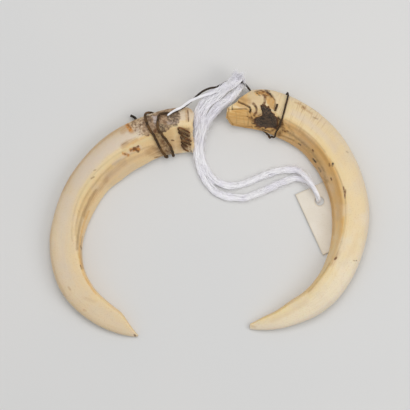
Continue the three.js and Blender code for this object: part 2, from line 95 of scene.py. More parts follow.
LEFT_TUSK = {
    "node": "tusk_left",
    "slot": "enamel_pale",
    "seed": 101,
    "centre": (-30.6, -11.4),
    "start": 66.5,
    "side": 1,
    "stations": [
        [0, 49.7, 66, 77, 2.5, 15.6],
        [8, 46.5, 63, 75, 2.5, 16],
        [16, 44.2, 60.8, 72.4, 2.5, 16.2],
        [25, 41.6, 57.8, 69.4, 2.5, 16],
        [34, 39.1, 54.8, 66.8, 2.5, 15.8],
        [46, 37.5, 50.8, 64.6, 1.6, 15.4],
        [60, 36.4, 48.6, 62.4, 0.2, 15],
        [75, 37.4, 48.2, 61.3, -0.2, 14.8],
        [90, 38.5, 48.9, 61.5, -0.3, 14.6],
        [104, 40.5, 50, 62.6, -0.1, 14.2],
        [118, 44, 50.6, 65.2, 0.4, 13.6],
        [132, 48.2, 51.8, 67.6, 0.8, 12.8],
        [146, 51.6, 53.6, 69.6, 0.9, 11.8],
        [160, 53, 55, 69.4, 0.7, 10.4],
        [173, 54.2, 56, 68.7, 0.2, 8.8],
        [181, 56, 57.6, 68, -0.1, 7.2],
        [187, 60.4, 61.6, 67.5, -0.1, 5.2],
        [192.3, 65, 65.6, 66.8, 0.2, 2.6],
    ],
    "break_line": [
        (0, -2), (0.1, -0.7), (0.26, 1.4), (0.47, 3.7), (0.68, 5.2), (0.87, 6.2), (0.95, 7.6), (1, 9.6),
    ],
    "near": [
        [0, 245, 217, 168], [0.2, 240, 206, 153], [0.42, 238, 206, 150], [0.56, 236, 212, 164],
        [0.7, 230, 210, 182], [1, 220, 196, 158],
    ],
    "far": [
        [0, 236, 202, 150], [0.3, 236, 208, 154], [0.5, 240, 214, 168], [0.75, 238, 216, 180],
        [1, 230, 206, 168],
    ],
    "change": (0.42, 0.62),
    "hairlines": 0.12,
    "strokes": {
        "tan": [
            [2, 2.4, 0.9, [122.5, 130.5], [127.5, 127], [132, 131]],
            [1.6, 2.2, 1, [123.5, 146.4], [127.5, 143.2]], [1.4, 1.8, 0.9, [129.5, 142.2], [136, 140]],
            [3, 3.4, 1, [151, 152], [160, 153.5]], [0.5, 0.6, 0.8, [176, 139.6], [177.8, 140]],
            [2.2, 3.2, 0.6, [169, 131], [172, 146]], [1.6, 2.4, 0.7, [178, 139], [180, 150]],
            [0.9, 1.2, 0.8, [186.6, 110], [187, 121]],
            [0.8, 1.2, 0.8, [180, 108.4], [189, 108.8], [192.6, 112]],
        ],
        "rust": [
            [1.2, 1.3, 1, [127.2, 125], [129, 127.2], [130.8, 130.2]],
            [1.2, 1.4, 0.9, [131.5, 150.5], [135, 149.5], [138.5, 149]],
            [0.9, 1.1, 0.9, [123.8, 153.4], [128.2, 155.5]],
        ],
        "brown": [
            [0.5, 1, 0.7, [128, 124.8], [130.6, 127.6]],
            [0.55, 0.8, 0.95, [131, 150.8], [135, 149], [138.4, 146.6]],
            [0.6, 0.8, 0.95, [134, 148], [136.5, 150.5], [138.6, 151.8]],
            [0.4, 0.7, 0.8, [124.5, 153.8], [127.5, 155.2]],
            [0.9, 1.6, 0.75, [161.5, 141], [165, 148], [168.5, 154.5]],
            [0.35, 0.4, 0.9, [171.5, 140.3], [174, 140.6]],
            [1.5, 1.8, 0.8, [155.6, 130.5], [161.4, 139], [167, 149], [170.4, 155]],
            [0.35, 0.5, 0.8, [80.6, 246], [82, 250]],
            [0.32, 0.5, 0.85, [187.8, 110.5], [188.4, 116], [188.6, 121.5]],
            [0.4, 0.6, 0.9, [134.4, 335.2], [135.6, 337]],
        ],
        "line": [
            [0.6, 1.8, 0.6, [122.5, 144.6], [127, 143]], [1.4, 2.6, 0.7, [154, 148], [160, 152]],
            [0.4, 0.5, 0.9, [154.5, 157.6], [159, 157.2], [163, 156.4]],
            [1, 1.6, 0.9, [153.4, 134], [159, 143], [165, 153]],
            [0.7, 1.4, 0.8, [189.5, 143], [190.5, 151]], [0.45, 0.6, 0.9, [91.5, 178.5], [94, 177]],
            [0.35, 0.6, 0.8, [94.3, 170.6], [95.7, 170]], [0.3, 0.5, 0.6, [79, 211], [80, 212]],
        ],
        "dark": [[0.45, 0.5, 0.6, [191.6, 151.2], [192.6, 151.9]]],
    },
    "streaks": {
        "straw": [[1.5, 2.2, 1, [24, 55.8], [38, 52.3], [52, 49.8], [68, 49], [90, 49.6]]],
        "gold": [
            [0.7, 1.6, 0.6, [22, 57.4], [34, 54.6], [44, 52.2]],
            [0.6, 1.2, 0.8, [100, 42.6], [118, 46], [132, 49.6], [146, 52.4], [160, 54.2]],
        ],
        "tan": [
            [0.9, 1.8, 0.9, [34, 66.2], [44, 63.8], [57, 61.9], [75, 60.8], [92, 61]],
            [0.7, 1.8, 0.5, [92, 61], [110, 63.4], [130, 66.8], [150, 69]],
            [1.2, 2.2, 0.75, [70, 42.4], [78, 42.2], [92, 43.4], [104, 45]],
            [0.6, 0.9, 0.8, [147, 64.2], [148.5, 64.3]], [0.5, 0.9, 0.7, [161.3, 66.3], [162.4, 66]],
            [0.9, 2.2, 0.35, [157, 61], [163, 58]],
        ],
        # Mauve streaks along the inner face: painted shade.
        "mauve": [
            [1.6, 2.8, 0.8, [50, 44], [60, 43.2], [72, 42.6]],
            [1, 2.2, 0.6, [30, 45.5], [40, 44.6], [50, 43.8]],
        ],
        "sand": [[1.6, 2.2, 0.5, [32, 41.6], [46, 39.6], [60, 38.2], [72, 38.4]]],
        "line": [
            [0.6, 1.6, 0.35, [52, 46.6], [66, 46], [78, 46.2], [98, 47.7], [118, 49.6]],
            [0.7, 1.6, 0.6, [82, 43.8], [95, 44.4], [106, 45.8], [118, 48], [128, 50]],
            [0.5, 1.2, 0.22, [46, 50.6], [62, 49.8], [80, 50], [100, 50.8], [122, 51.8]],
            [0.5, 1.2, 0.3, [24, 50], [40, 47.4], [56, 45.4]],
            [0.3, 0.7, 0.6, [120, 45.6], [134, 49.2], [142, 51]],
        ],
        "brown": [[0.35, 0.6, 0.85, [139.3, 51.5], [141.7, 51.9]]],
        "milk": [
            [3.2, 5, 1, [36, 58.5], [50, 57], [66, 55.8], [84, 55.6]],
            [2.5, 5, 0.6, [96, 56], [120, 58], [140, 61]],
            [1.5, 2.5, 0.9, [37, 49.8], [46, 47.8], [58, 46.9]],
        ],
    },
    "areas": [
        ["resin", 2.2, 1, [143, 121], [147, 116], [163, 109], [172, 107], [179, 108], [180.5, 117],
         [178.5, 125], [170, 127.5], [166, 132.5], [160, 133], [155, 133.5], [147, 136], [141, 132]],
        ["resin", 4, 0.7, [131, 121], [137, 118], [147, 116], [149, 125], [148, 134], [140, 136],
         [133, 131]],
        ["brown", 1.2, 0.6, [179, 128], [189, 128], [191, 137], [190, 142], [188, 150], [183, 150],
         [182, 138], [178.6, 134]],
        ["dark_resin", 1.6, 1, [167, 115.5], [172, 112], [179, 111], [180, 118], [176, 122.5],
         [168, 122.5]],
        ["dark_resin", 1.1, 1, [158, 125], [162, 123], [166, 127], [165, 132], [159.5, 133]],
        ["dark_resin", 1.2, 0.7, [163, 126], [178, 123], [178.5, 126], [166, 129]],
        ["dark_resin", 1.2, 0.5, [144, 118], [152, 115], [153, 120], [147, 125]],
        # Pale lilac patches on the resin film: painted highlight.
        ["pale_resin", 1.4, 1, [152.5, 116.5], [157, 116], [158, 122], [154.5, 125]],
        ["pale_resin", 1.2, 0.5, [166, 121], [178, 119], [178, 124], [168, 125]],
    ],
    "grooves": [
        [0.35, 0.35, 0.35, [187.8, 110.5], [188.4, 116], [188.6, 121.5]],
        [0.25, 0.3, 0.3, [155.5, 157.6], [165, 156]],
    ],
    "step": None,
}
RIGHT_TUSK = {
    "node": "tusk_right",
    "slot": "enamel_warm",
    "seed": 201,
    "centre": (29.4, -5.4),
    "start": 107.5,
    "side": -1,
    "stations": [
        [0, 57, 66, 77, 2.5, 15.2],
        [8, 54.9, 66, 77.2, 2.5, 15.8],
        [15, 53.3, 65.2, 76.9, 2.5, 16.4],
        [22, 51.9, 63.4, 77.3, 2.5, 16.6],
        [30, 49.9, 61.6, 76, 2.5, 16.6],
        [40, 48.8, 59.8, 74.2, 1.7, 16.2],
        [52, 47.6, 57.6, 72.2, -0.2, 15.8],
        [64, 45.9, 55.6, 70.2, 0.2, 15.4],
        [78, 44.9, 54, 68.2, 1.5, 15.2],
        [92, 44.5, 52.6, 67.2, 1.6, 15],
        [107, 44.5, 51.7, 66.8, 1.8, 14.8],
        [122, 45.7, 51.9, 66.3, 1.9, 14.4],
        [137, 47.7, 52.4, 66.9, 1.3, 13.6],
        [152, 50.4, 53.2, 68.3, 0.3, 12.6],
        [165, 52.6, 54.6, 68.5, 0.1, 11.2],
        [177, 53.8, 55.8, 68, -0.1, 9.4],
        [187, 57, 58.8, 67.8, -0.1, 7.4],
        [195, 59.9, 61.2, 67.5, 0, 5.4],
        [201.2, 63.4, 64.2, 67, 0.2, 3.2],
    ],
    "break_line": [(0, 7.4), (0.06, 1.9), (0.3, 0), (0.57, 2), (0.68, 6.6), (0.8, 8.8), (1, 14.8)],
    "near": [
        [0, 220, 172, 104], [0.22, 238, 194, 122], [0.42, 226, 178, 104], [0.5, 232, 196, 130],
        [0.6, 238, 214, 166], [1, 234, 212, 172],
    ],
    "far": [
        [0, 230, 194, 128], [0.3, 238, 208, 142], [0.5, 244, 223, 176], [0.75, 248, 232, 200],
        [1, 248, 233, 206],
    ],
    "change": (0.5, 0.72),
    "hairlines": 0.5,
    "strokes": {
        "tan": [
            [2, 2.4, 1, [239.5, 98], [243, 100.5], [248, 102]],
            [1.3, 1.6, 1, [238, 104], [246, 108], [248.5, 112]],
            [1.1, 1.4, 1, [302.3, 106.8], [304.6, 108.5]], [0.7, 1.2, 0.9, [307, 110.5], [311.5, 113.5]],
            [0.5, 1.2, 0.8, [295, 102.5], [301, 104.5]], [0.5, 1.2, 0.8, [309, 105], [316, 110]],
            [0.6, 1.2, 0.5, [251.5, 326.3], [255, 327.3]],
        ],
        "line": [
            [1.2, 2.2, 0.45, [240, 98], [245, 101]], [1.6, 2.6, 0.35, [269.5, 97], [272, 101], [271, 106]],
            [0.6, 1, 0.9, [237, 101], [240.5, 102.8], [243, 103.8], [246.5, 105.4], [249.2, 107.2]],
            [0.5, 0.8, 1, [271.6, 96], [274.4, 100], [275.2, 104.5], [274.2, 109.5]],
            [0.45, 0.6, 0.9, [232, 109.7], [239, 109.2], [246, 109.1]],
            [0.5, 0.9, 0.9, [228.6, 108.4], [227.4, 113], [227.2, 118], [230, 123], [233.4, 126.8]],
            [0.45, 0.9, 0.8, [233.4, 126.8], [244, 127.8], [252, 127.4]],
            [0.22, 0.5, 0.35, [235.6, 112], [236.8, 118], [236.2, 125]],
            [0.2, 0.5, 0.22, [240.2, 113], [239.4, 119]], [0.2, 0.5, 0.3, [243.2, 116], [244.4, 126]],
            [0.35, 0.9, 0.5, [247.2, 113], [248.6, 119], [247.8, 127]],
            [0.25, 0.7, 0.3, [230, 118], [238, 116.6], [246, 117.4]],
            [0.5, 0.9, 0.7, [278, 134], [285, 137], [294, 140.5]],
            [0.4, 0.9, 0.7, [313, 117.5], [317.5, 118.8]], [0.3, 0.5, 0.6, [346, 151.6], [348, 152.4]],
        ],
        "dark": [
            [0.35, 0.6, 0.75, [238, 101.8], [243, 104.2], [246.5, 105.8], [249.2, 107.6]],
            [0.6, 0.7, 1, [249.2, 107.4], [250.6, 110], [249.6, 113]],
            [0.3, 0.5, 0.6, [254, 105], [256.4, 108], [256.8, 110.5]],
            [0.4, 0.5, 0.8, [256.4, 93], [257.6, 93.8]], [0.4, 0.5, 0.8, [258.5, 95], [259.8, 95.7]],
            [0.5, 0.8, 0.8, [266, 91.2], [269.6, 93.4], [271.4, 96.4]],
            [0.3, 0.4, 0.8, [231.9, 106.3], [232.2, 109.6]],
            [0.35, 0.5, 1, [257, 130.4], [260, 131.2], [264, 131.6]],
            [0.3, 0.5, 0.8, [262, 128.6], [265, 130.4], [268.6, 131]],
            [0.25, 0.4, 0.8, [254.5, 120.5], [251.6, 118.8]],
            [0.25, 0.4, 0.8, [254.6, 123.6], [251.4, 123.8]],
            [0.25, 0.4, 0.8, [256.6, 118.4], [254.2, 116.6]],
            [0.25, 0.4, 0.8, [257.4, 126.2], [254.4, 127]],
            [0.25, 0.4, 0.7, [260.4, 114.6], [258.4, 115.6]],
            [0.9, 1.6, 0.8, [278, 118], [280.4, 122], [279.4, 127]],
        ],
        "brown": [
            [0.75, 1, 0.8, [253, 103.6], [255.9, 107.2], [256.4, 110.5]],
            [0.65, 0.9, 0.9, [256.3, 110.5], [255.8, 113], [254, 115.3]],
            [0.35, 0.6, 0.8, [255, 91.8], [259.5, 90.4], [262.4, 90.8]],
            [0.6, 0.9, 0.85, [262, 92], [265.5, 90.4], [269, 91.2]],
            [0.9, 1.4, 0.8, [263.4, 94.6], [266, 96.2], [264.8, 98.6]],
            [1, 1.4, 0.8, [264.6, 92.4], [268, 93.4], [271.8, 96.6]],
            [0.7, 1.2, 0.6, [257.2, 91.6], [261.4, 93.4]],
            [0.5, 1.6, 0.4, [282, 121], [288, 126], [293, 133]],
            [0.75, 0.9, 1, [265, 97], [264.4, 100.5], [263.8, 104.5]],
            [0.35, 0.4, 0.8, [247, 117.3], [247.6, 117.7]], [0.35, 0.4, 0.8, [249, 118.6], [249.6, 119]],
            [0.35, 0.4, 0.8, [251.6, 117.5], [252.2, 117.9]],
            [1, 2.4, 0.8, [251, 119.5], [256, 123.6], [259, 127]],
            [0.6, 1.4, 0.8, [256, 127], [262, 130], [270, 131.6], [277, 128.5]],
            [1, 2, 0.8, [281.5, 122], [283, 129], [279, 134.5]],
            [0.5, 0.5, 1, [284.6, 131.2], [285.8, 132]], [0.4, 0.6, 0.7, [302.8, 107], [304.4, 108.2]],
        ],
        "gold": [
            [1.4, 1.8, 1, [257, 93.4], [263, 92.6], [268, 95]],
            [1.4, 2, 1, [254, 126], [262, 129.5], [270, 131.5], [277, 129]],
        ],
        "rust": [[0.9, 1.4, 0.7, [260, 93], [264, 92.6], [267, 94]]],
    },
    "streaks": {
        "brown": [
            [1, 2, 0.34, [33, 55], [44, 52.8], [58, 50.4], [70, 48.4], [80, 46.9]],
            [0.45, 0.6, 0.95, [56.2, 52.3], [57.1, 52]], [0.45, 0.6, 0.95, [79, 49.8], [79.9, 49.6]],
            [0.4, 0.6, 0.8, [35.8, 55.2], [36.6, 54.8]], [0.4, 0.7, 0.9, [70.2, 53.6], [71.4, 53]],
            [0.4, 0.7, 0.95, [87.5, 54.3], [91, 54], [94.5, 53.4]],
            [0.3, 0.5, 0.8, [89.6, 55.1], [92, 54.3]], [0.55, 0.6, 1, [134.6, 52.4], [135.7, 52.2]],
        ],
        "tan": [
            [1.6, 3, 0.6, [46, 54.6], [60, 52.6], [76, 50.4], [92, 48.8], [108, 48.2]],
            [1.2, 2.2, 0.6, [131, 52.6], [140, 52]],
        ],
        "straw": [[1.6, 2.4, 0.9, [30, 63.4], [44, 60.9], [60, 58.4], [78, 56.2], [96, 54.6]]],
        "gold": [
            [1.4, 2.6, 0.6, [34, 57.6], [48, 55.4], [62, 53.2], [74, 51.6]],
            [1, 2, 0.35, [88, 50.4], [104, 49.8], [120, 50], [136, 50.8]],
        ],
        "line": [
            [1, 2.2, 0.42, [43, 57.8], [56, 55.8], [70, 53.6]],
            [0.8, 2.2, 0.28, [70, 53.4], [84, 51.8], [98, 50.9]],
            [0.45, 1.2, 0.4, [33, 61.2], [41, 59.7], [52, 58], [63, 56.2]],
            [0.45, 1.2, 0.28, [68, 55.5], [79, 54.5], [97, 53], [116, 51.9], [135, 52]],
            [0.7, 1.8, 0.3, [36, 58.6], [50, 56.6], [64, 54.6], [74, 53.4]],
            [0.6, 1.6, 0.3, [42, 51.1], [53, 49.6], [61, 48.1], [71, 46.7]],
            [0.6, 1.4, 0.35, [34, 54.8], [46, 53], [58, 50.8], [72, 48.6]],
            [0.4, 0.8, 0.5, [74, 55], [82, 54.4], [90, 53.9], [98, 53.2]],
            [0.25, 0.4, 0.9, [130.9, 64.5], [131.6, 62.4]],
            [0.5, 1.2, 0.35, [76, 46.4], [90, 45.3], [106, 45.3], [120, 46.2]],
            [0.45, 1, 0.3, [140, 50.6], [154, 52.2], [163, 53.6]],
        ],
        "dark": [
            [0.45, 0.6, 0.85, [60.5, 48.6], [63.5, 48.2]], [0.35, 0.6, 0.75, [68, 47.3], [71, 46.9]],
            [0.3, 0.5, 0.7, [46, 50.9], [48, 50.6]], [0.55, 0.7, 1, [71.5, 55.3], [72.4, 54.4]],
        ],
        "sand": [
            [0.9, 2.2, 0.9, [112, 49], [126, 49.8], [140, 51], [154, 52.8], [164, 54.2]],
            [2.4, 5, 0.35, [62, 62.5], [74, 61]], [1.6, 3.5, 0.3, [118, 60.5], [136, 58]],
            [1.2, 3, 0.5, [168, 58], [178, 59.5], [190, 62.4]],
        ],
        "milk": [
            [1, 3, 0.8, [60, 69], [90, 66.4], [120, 65.4], [150, 67], [180, 67.2]],
            [1.6, 3.5, 0.8, [36, 66.5], [52, 63.6], [66, 61.6]],
        ],
    },
    "areas": [
        ["gold", 1.4, 1, [230, 110.6], [246, 109.8], [251, 113], [258, 116], [261, 122], [262, 131],
         [240, 129], [231, 128], [225, 118], [226, 108]],
        ["gold", 1.6, 1, [265.4, 98], [268, 93.5], [273, 97], [275.3, 103], [274, 109.5], [268, 108]],
        ["gold", 2.4, 0.75, [230, 104], [240, 94], [247, 91], [248, 98], [247, 106], [240, 107]],
        ["sand", 3, 0.9, [246, 92], [262, 89], [264, 104], [256, 112], [247, 106]],
        ["gold", 2.4, 0.9, [262, 118], [283, 120], [290, 128], [284, 136], [264, 132]],
        ["tan", 2, 0.9, [250, 113], [262, 114], [263, 122], [256, 121]],
    ],
    "grooves": [
        [0.45, 0.5, 0.6, [237, 101.3], [240.5, 103], [243, 104], [246.5, 105.6], [249.2, 107.4],
         [250.5, 110]],
        [0.5, 0.5, 0.9, [250.5, 110], [249.6, 113]],
        [0.4, 0.5, 0.4, [253.3, 104], [255.9, 107.5], [256.3, 110.5], [254.6, 114.6]],
        [0.2, 0.3, 0.3, [232, 106.3], [232.2, 109.6]],
        [0.2, 0.3, 0.3, [278, 134], [285, 137], [294, 140.5]],
    ],
    "step": [
        [232.2, 109.4], [246.5, 109.2], [250, 113.2], [252.5, 118], [252, 131], [220, 131], [220, 109.4],
    ],
}
BREAK_FADE = 42.0  # degrees over which the sections straighten behind the broken end
KEEL_HEIGHT = 0.4
KEEL_ROUND = 0.36
RIDGE_ROUND = 0.15
CROWN = 0.045
MEAN_RADIUS = 58  # of the tusks' curve, for the grain
WAVES = 0.16  # height of the skin's long waves
RIPPLES = 0.05
BROWN_DEPTH = 0.12  # how far a brown stain is eaten in
DARK_DEPTH = 0.18
RESIN_HEIGHT = 0.14
CAVITY_MOUTH = 0.5
CAVITY_END = 0.12
CAVITY_DEPTH = 11.0

ROUND_POINTS = 200  # points round a tusk's section
ROOT_STEP = 0.32  # degrees between sections in the detailed part near the root
ROOT_END = 44.0  # where that part ends
SHAFT_STEP = 0.5
END_RINGS = 14  # across the broken end
CAVITY_RINGS = 10
TIP_RINGS = 7
TIP_LENGTH = 0.7  # degrees that the rounded tip runs past the last station

# ------------------------------------------------------------------ wires, pitch, string and tag

WIRE_RADIUS = 0.7
HUG_GAP = 0.46
WRAP_STEP = 6.0
WIRE_SIDES = 14
STUB_RADIUS = 0.62
WIRE_STEP = 0.4
STUB_STEP = 0.3
RUST_FLAKES = 0.07  # how far rust has bitten in or stands out
RUST_PITS = 0.04
WIRE_THINNING = [[0, 0.78], [0.45, 0.76], [0.6, 0.62], [1, 0.56]]  # [share of the length, radius]
# How black the wire is: [share of the length, amount].
WIRE_BLACK = [[0, 1], [0.02, 1], [0.04, 0], [0.5, 0], [0.56, 0.9], [0.7, 1], [0.8, 0.6], [1, 0.7]]
WIRE_FREE_END = [[-47, 56.1, 3.9], [-44.6, 54.9, 3]]
# Turns round a tusk: [degrees from the root end, angle round the section, 0 outward and 90 up].
WIRE_ROUND_LEFT = [
    [34.5, -45], [25, -78], [18.2, -104], [17.2, -140], [16.8, -180], [18.8, -226], [21.5, -234],
    [23.1, -238], [24.6, -243], [25.9, -256], [27.6, -284], [28.8, -295], [29.3, -305], [29.1, -328],
    [28, -362], [21, -432], [14.2, -464], [12.6, -500], [12.4, -542], [13.2, -588], [14.6, -594],
    [17.4, -599], [19.5, -603], [21.6, -615], [22.5, -643], [22.6, -652], [21.8, -664], [20.1, -670],
    [17.1, -668], [14.8, -665], [11.5, -668],
]
WIRE_BRIDGE = [
    [-15.4, 61, 12.8], [-11.4, 63.9, 13], [-7.8, 67.2, 13.2], [-4.2, 70.2, 13.4], [0, 72.2, 13.6],
    [4.8, 73.2, 13.7], [8.4, 75, 13.6], [12, 76.7, 13.2], [16.2, 77.2, 12.7], [20.2, 75.6, 10.9],
    [22.6, 73.8, 8], [24.4, 71.6, 5],
]
WIRE_UNDER_RIGHT = [[9, -72], [15.5, -86], [18.8, -110], [21.4, -138], [22.4, -158], [23.6, -172]]
WIRE_KINK = [[36, 43.5, 4.9], [36.6, 42.7, 5.3], [37.5, 43.4, 6.1]]
WIRE_OVER_RIGHT = [
    [27.4, 160], [29.1, 139], [30.3, 132], [31, 112], [31, 77], [30.6, 67], [30.1, 39], [29.6, 5],
    [29, -45],
]
WIRE_STUB = [[26, 70], [26.2, 75], [26.3, 80]]

COIL_RADIUS = 0.47
COIL_TURNS = 5.0
COIL_POINTS = 240
COIL_SIDES = 12
COIL_STEP = 0.25
COIL_SWAY = 0.45  # how far a turn leans aside
COIL_AXIS = [[184.3, 129.8], [185.2, 149.6]]  # in squares, from its upper end to its lower end
COIL_ACROSS = (2.7, -1.5)  # mm from the axis to the right-hand end of a turn of reach 1
COIL_RISE = 0.8
COIL_HEIGHT = 1.2  # of the axis over the tusk
# How far the turns reach: [share of the coil's length, to the right, to the left].
COIL_REACH = [
    [0, 1.2, 1.2], [0.2, 1.1, 1.45], [0.45, 1.5, 0.9], [0.65, 1.2, 0.75], [0.8, 0.5, 0.8], [1, 0.7, 0.5],
]

PITCH_MIDDLE = (34.6, 54.3)
PITCH_THICKNESS = 1.7
PITCH_EDGE = 0.2
PITCH_RINGS = 22
PITCH_STEP = 0.28
PITCH_GAP = 0.21  # between its underside and the tusk
PITCH_CRUST = 0.34  # height of its lumps
PITCH_GRIT = 0.16
PITCH_OUTLINE = [
    [32.4, 63], [30.8, 61.6], [31.6, 56.4], [26.9, 53.8], [28, 50.6], [31.4, 48.8], [36.4, 48.2],
    [40.4, 48.8], [41.9, 52.2], [40.2, 55.4], [38, 58], [35.6, 61],
]

STRING_FOLD = [17.4, 79.7, 12.5]
OUTER_LEG = [
    [16.8, 78.9, 14.9], [15.8, 77.6, 15.7], [13.3, 75.5, 15.6], [8.6, 72.7, 14.2], [2.5, 68.3, 12.4],
    [-2.7, 62.8, 10.8], [-6.2, 55.8, 8.8], [-7.2, 48, 6.6], [-8, 39.6, 4.2], [-7.5, 31.8, 2.4],
    [-5.7, 24.6, 1.7], [-2.4, 18.3, 1.6], [1.5, 12.4, 1.6], [7.2, 8.6, 1.6], [14.2, 7.1, 1.6],
    [21.6, 6.9, 1.6], [27.6, 8.8, 1.6], [33.6, 11.4, 1.6], [39.6, 14.1, 1.6], [45.6, 16.6, 1.6],
    [51.6, 18.4, 1.9], [56.1, 17.9, 2.6], [59.4, 16, 2.9], [62.1, 13.2, 3.1], [64.2, 9.3, 2.9],
    [65.4, 5.6, 2.8],
]
OUTER_END = [65.8, 4.6, 1.3]
INNER_LEG = [
    [17.9, 79, 10.8], [18.2, 77.2, 9.9], [17.8, 73.7, 9.7], [15.2, 69.3, 10.4], [11.1, 65.1, 10.5],
    [6.3, 60.9, 9.8], [1.8, 55.8, 8.2], [-1.9, 49.5, 6.2], [-4, 42.6, 4.4], [-4.3, 35.4, 2.6],
    [-3.2, 28.5, 1.8], [-0.6, 23, 1.6], [2.1, 18.9, 1.6], [6.3, 15.9, 1.6], [11.4, 14, 1.6],
    [17.4, 14.3, 1.6], [23.4, 16.1, 1.6], [29.4, 18.8, 1.6], [35.4, 21.3, 1.6], [41.4, 23, 1.6],
    [47.4, 23.8, 1.6], [52.8, 23.6, 1.7], [56.4, 21.2, 4.2], [59.6, 17.8, 6], [62.3, 14.2, 6.4],
    [64.5, 10.3, 6.2], [66.1, 7, 5.8],
]
INNER_END = [66.4, 5, 2]
LOOSE_YARN = [
    [4.8, 70.5, 14.9], [3, 69.8, 14.8], [1.2, 69.2, 14.7], [-0.8, 68.7, 14.6], [-2.8, 68.2, 14.8],
    [-4.7, 67.5, 15], [-6.6, 66.7, 15.3], [-8.4, 66, 15.4], [-10.2, 65.2, 15.4], [-12, 64, 15.2],
    [-13.8, 62.8, 15], [-15.6, 61.5, 14.9], [-17.6, 60.3, 14.8], [-20.2, 59.3, 15.2], [-22.6, 57.7, 15.8],
    [-24.9, 55.9, 16.1],
]
# How far the threads of a leg spread from its route: [share of the length, towards the outside of
# the loop, towards its inside].
OUTER_SPREAD = [
    [0, 4, 4], [0.03, 3.2, 3.6], [0.06, 2.2, 3.8], [0.09, 2, 4.2], [0.13, 3.8, 4.5], [0.18, 4.3, 4.7],
    [0.215, 4.2, 4.6], [0.26, 3.4, 3.9], [0.32, 1.6, 3.2], [0.38, 1.6, 3], [0.44, 1.9, 2.6],
    [0.5, 2.2, 2.2], [0.82, 2.2, 2], [0.89, 1.4, 1.4], [0.94, 1, 1], [1, 0.8, 0.6],
]
INNER_SPREAD = [
    [0, 3.8, 3.8], [0.024, 3.2, 3.6], [0.048, 2.4, 2.8], [0.08, 2.4, 2.8], [0.12, 3, 2.5], [0.16, 3.6, 2],
    [0.21, 3.6, 1.5], [0.26, 3.2, 1.2], [0.31, 2.9, 0.9], [0.36, 2.9, 0.8], [0.42, 2.7, 1.2],
    [0.5, 2.4, 1.8], [0.82, 2.2, 2], [0.89, 1.4, 1.3], [0.94, 1.1, 0.8], [1, 0.8, 0.4],
]
YARN_SPREAD = [[0, 0.8, 0.8], [0.5, 0.7, 0.7], [0.9, 0.5, 0.5], [1, 0.25, 0.25]]
LEG_HEIGHT = 1.0  # half the height of a leg
LEG_THREADS = 64
YARN_HEIGHT = 0.5
YARN_THREADS = 16
YARN_STEP = 0.8
THREAD_RADIUS = 0.24
THREAD_FLUFF = 1.3  # how much thicker the loose threads near the fold are
THREAD_STEP = 1.1
THREAD_SIDES = 5
THREAD_OFF_FLOOR = 0.06
CLEAR_SEARCH = 6.0  # how near a thread has to be to a piece to be pushed clear of it
GOLDEN_ANGLE = 2.399963
HAIRS_PER_LEG = 1350
# The fibres grow from three stretches of a leg, given as shares of its length: the fold, the
# hanging part and nearly all of it. The limits share them out.
HAIR_SPANS = [[0, 0.035], [0, 0.3], [0.05, 0.93]]
HAIR_LIMITS = (0.24, 0.5)
HAIR_LENGTHS = (2.0, 5.5)
HAIR_RADIUS = 0.085
HAIR_CLEARANCE = 0.09

TAG_LENGTH = 40.0
TAG_WIDTH = 23.4
TAG_THICKNESS = 0.3
TAG_COLUMNS = 81
TAG_ROWS = 48
TAG_HOLE_RADIUS = 2.6
TAG_HOLE_FROM_END = 9.8
TAG_CORNER = (51.8, 8.64)
TAG_LONG_WAY = (0.416, -0.909)
TAG_SLOPE = 1.5
TAG_LOW_EDGE = 0.12
TAG_CURL = 0.5  # how far the free long edge lifts off the surface
TAG_CURL_WIDTH = 8.0
TAG_WAVES = 0.06
TAG_SNAP = 0.32  # how near to the hole's edge a point is drawn onto it


# ------------------------------------------------------------------ general helpers


def smoothstep(value, low, high):
    t = np.clip((value - low) / (high - low), 0, 1)
    return t * t * (3 - 2 * t)


def band(away, half_width, softness):
    """1 along the middle of a line and 0 beyond its soft edge."""
    return 1 - smoothstep(away, half_width - 0.5 * softness, half_width + 0.5 * softness)


def noise(points, size, seed):
    """Smooth noise from -1 to 1 over cells of the given size."""
    table = np.random.default_rng(seed).uniform(-1, 1, 4096)
    places = np.asarray(points, float) / size
    low = np.floor(places).astype(np.int64)
    t = places - low
    t = t * t * (3 - 2 * t)
    total = np.zeros(len(places))
    for corner in itertools.product((0, 1), repeat=3):
        cell = low + corner
        key = (cell[:, 0] * 73856093) ^ (cell[:, 1] * 19349663) ^ (cell[:, 2] * 83492791)
        weight = np.prod(np.where(corner, t, 1 - t), axis=1)
        total += weight * table[key % 4096]
    return total


def rough(points, size, seed, octaves=3):
    """Noise with finer layers added, each half the size and strength of the one before."""
    total = np.zeros(len(points))
    for layer in range(octaves):
        total += noise(points, size / 2**layer, seed + layer) / 2**layer
    return total


def plan(places):
    rows = np.array(places, float)
    return np.column_stack([(rows[:, 0] - ZERO_SQUARE) * SQUARE, (ZERO_SQUARE - rows[:, 1]) * SQUARE])


def level(flat):
    """Points in plan as points at height 0."""
    return np.column_stack([flat, np.zeros(len(flat))])


def plan_point(tusk, at, radius):
    """Plan coordinates at these degrees from the root end and this radius."""
    azimuth = np.radians(tusk["start"] + tusk["side"] * at)
    x = tusk["centre"][0] + radius * np.cos(azimuth)
    y = tusk["centre"][1] + radius * np.sin(azimuth)
    return x, y


def along_tusk(tusk, places):
    """A curved line in plan through places given as degrees from the root end and radius."""
    at, radius = np.array(places, float).T
    order = np.arange(len(at))
    fine = np.linspace(0, len(at) - 1, 8 * len(at))
    return np.column_stack(plan_point(tusk, np.interp(fine, order, at), np.interp(fine, order, radius)))


def line_distance(flat, places):
    """Distance in plan from each point to a line through the places."""
    nearest = np.full(len(flat), 1e9)
    for start, end in zip(places[:-1], places[1:]):
        way = end - start
        t = np.clip(((flat - start) @ way) / max(way @ way, 1e-9), 0, 1)
        nearest = np.minimum(nearest, np.linalg.norm(flat - start - t[:, None] * way, axis=1))
    return nearest


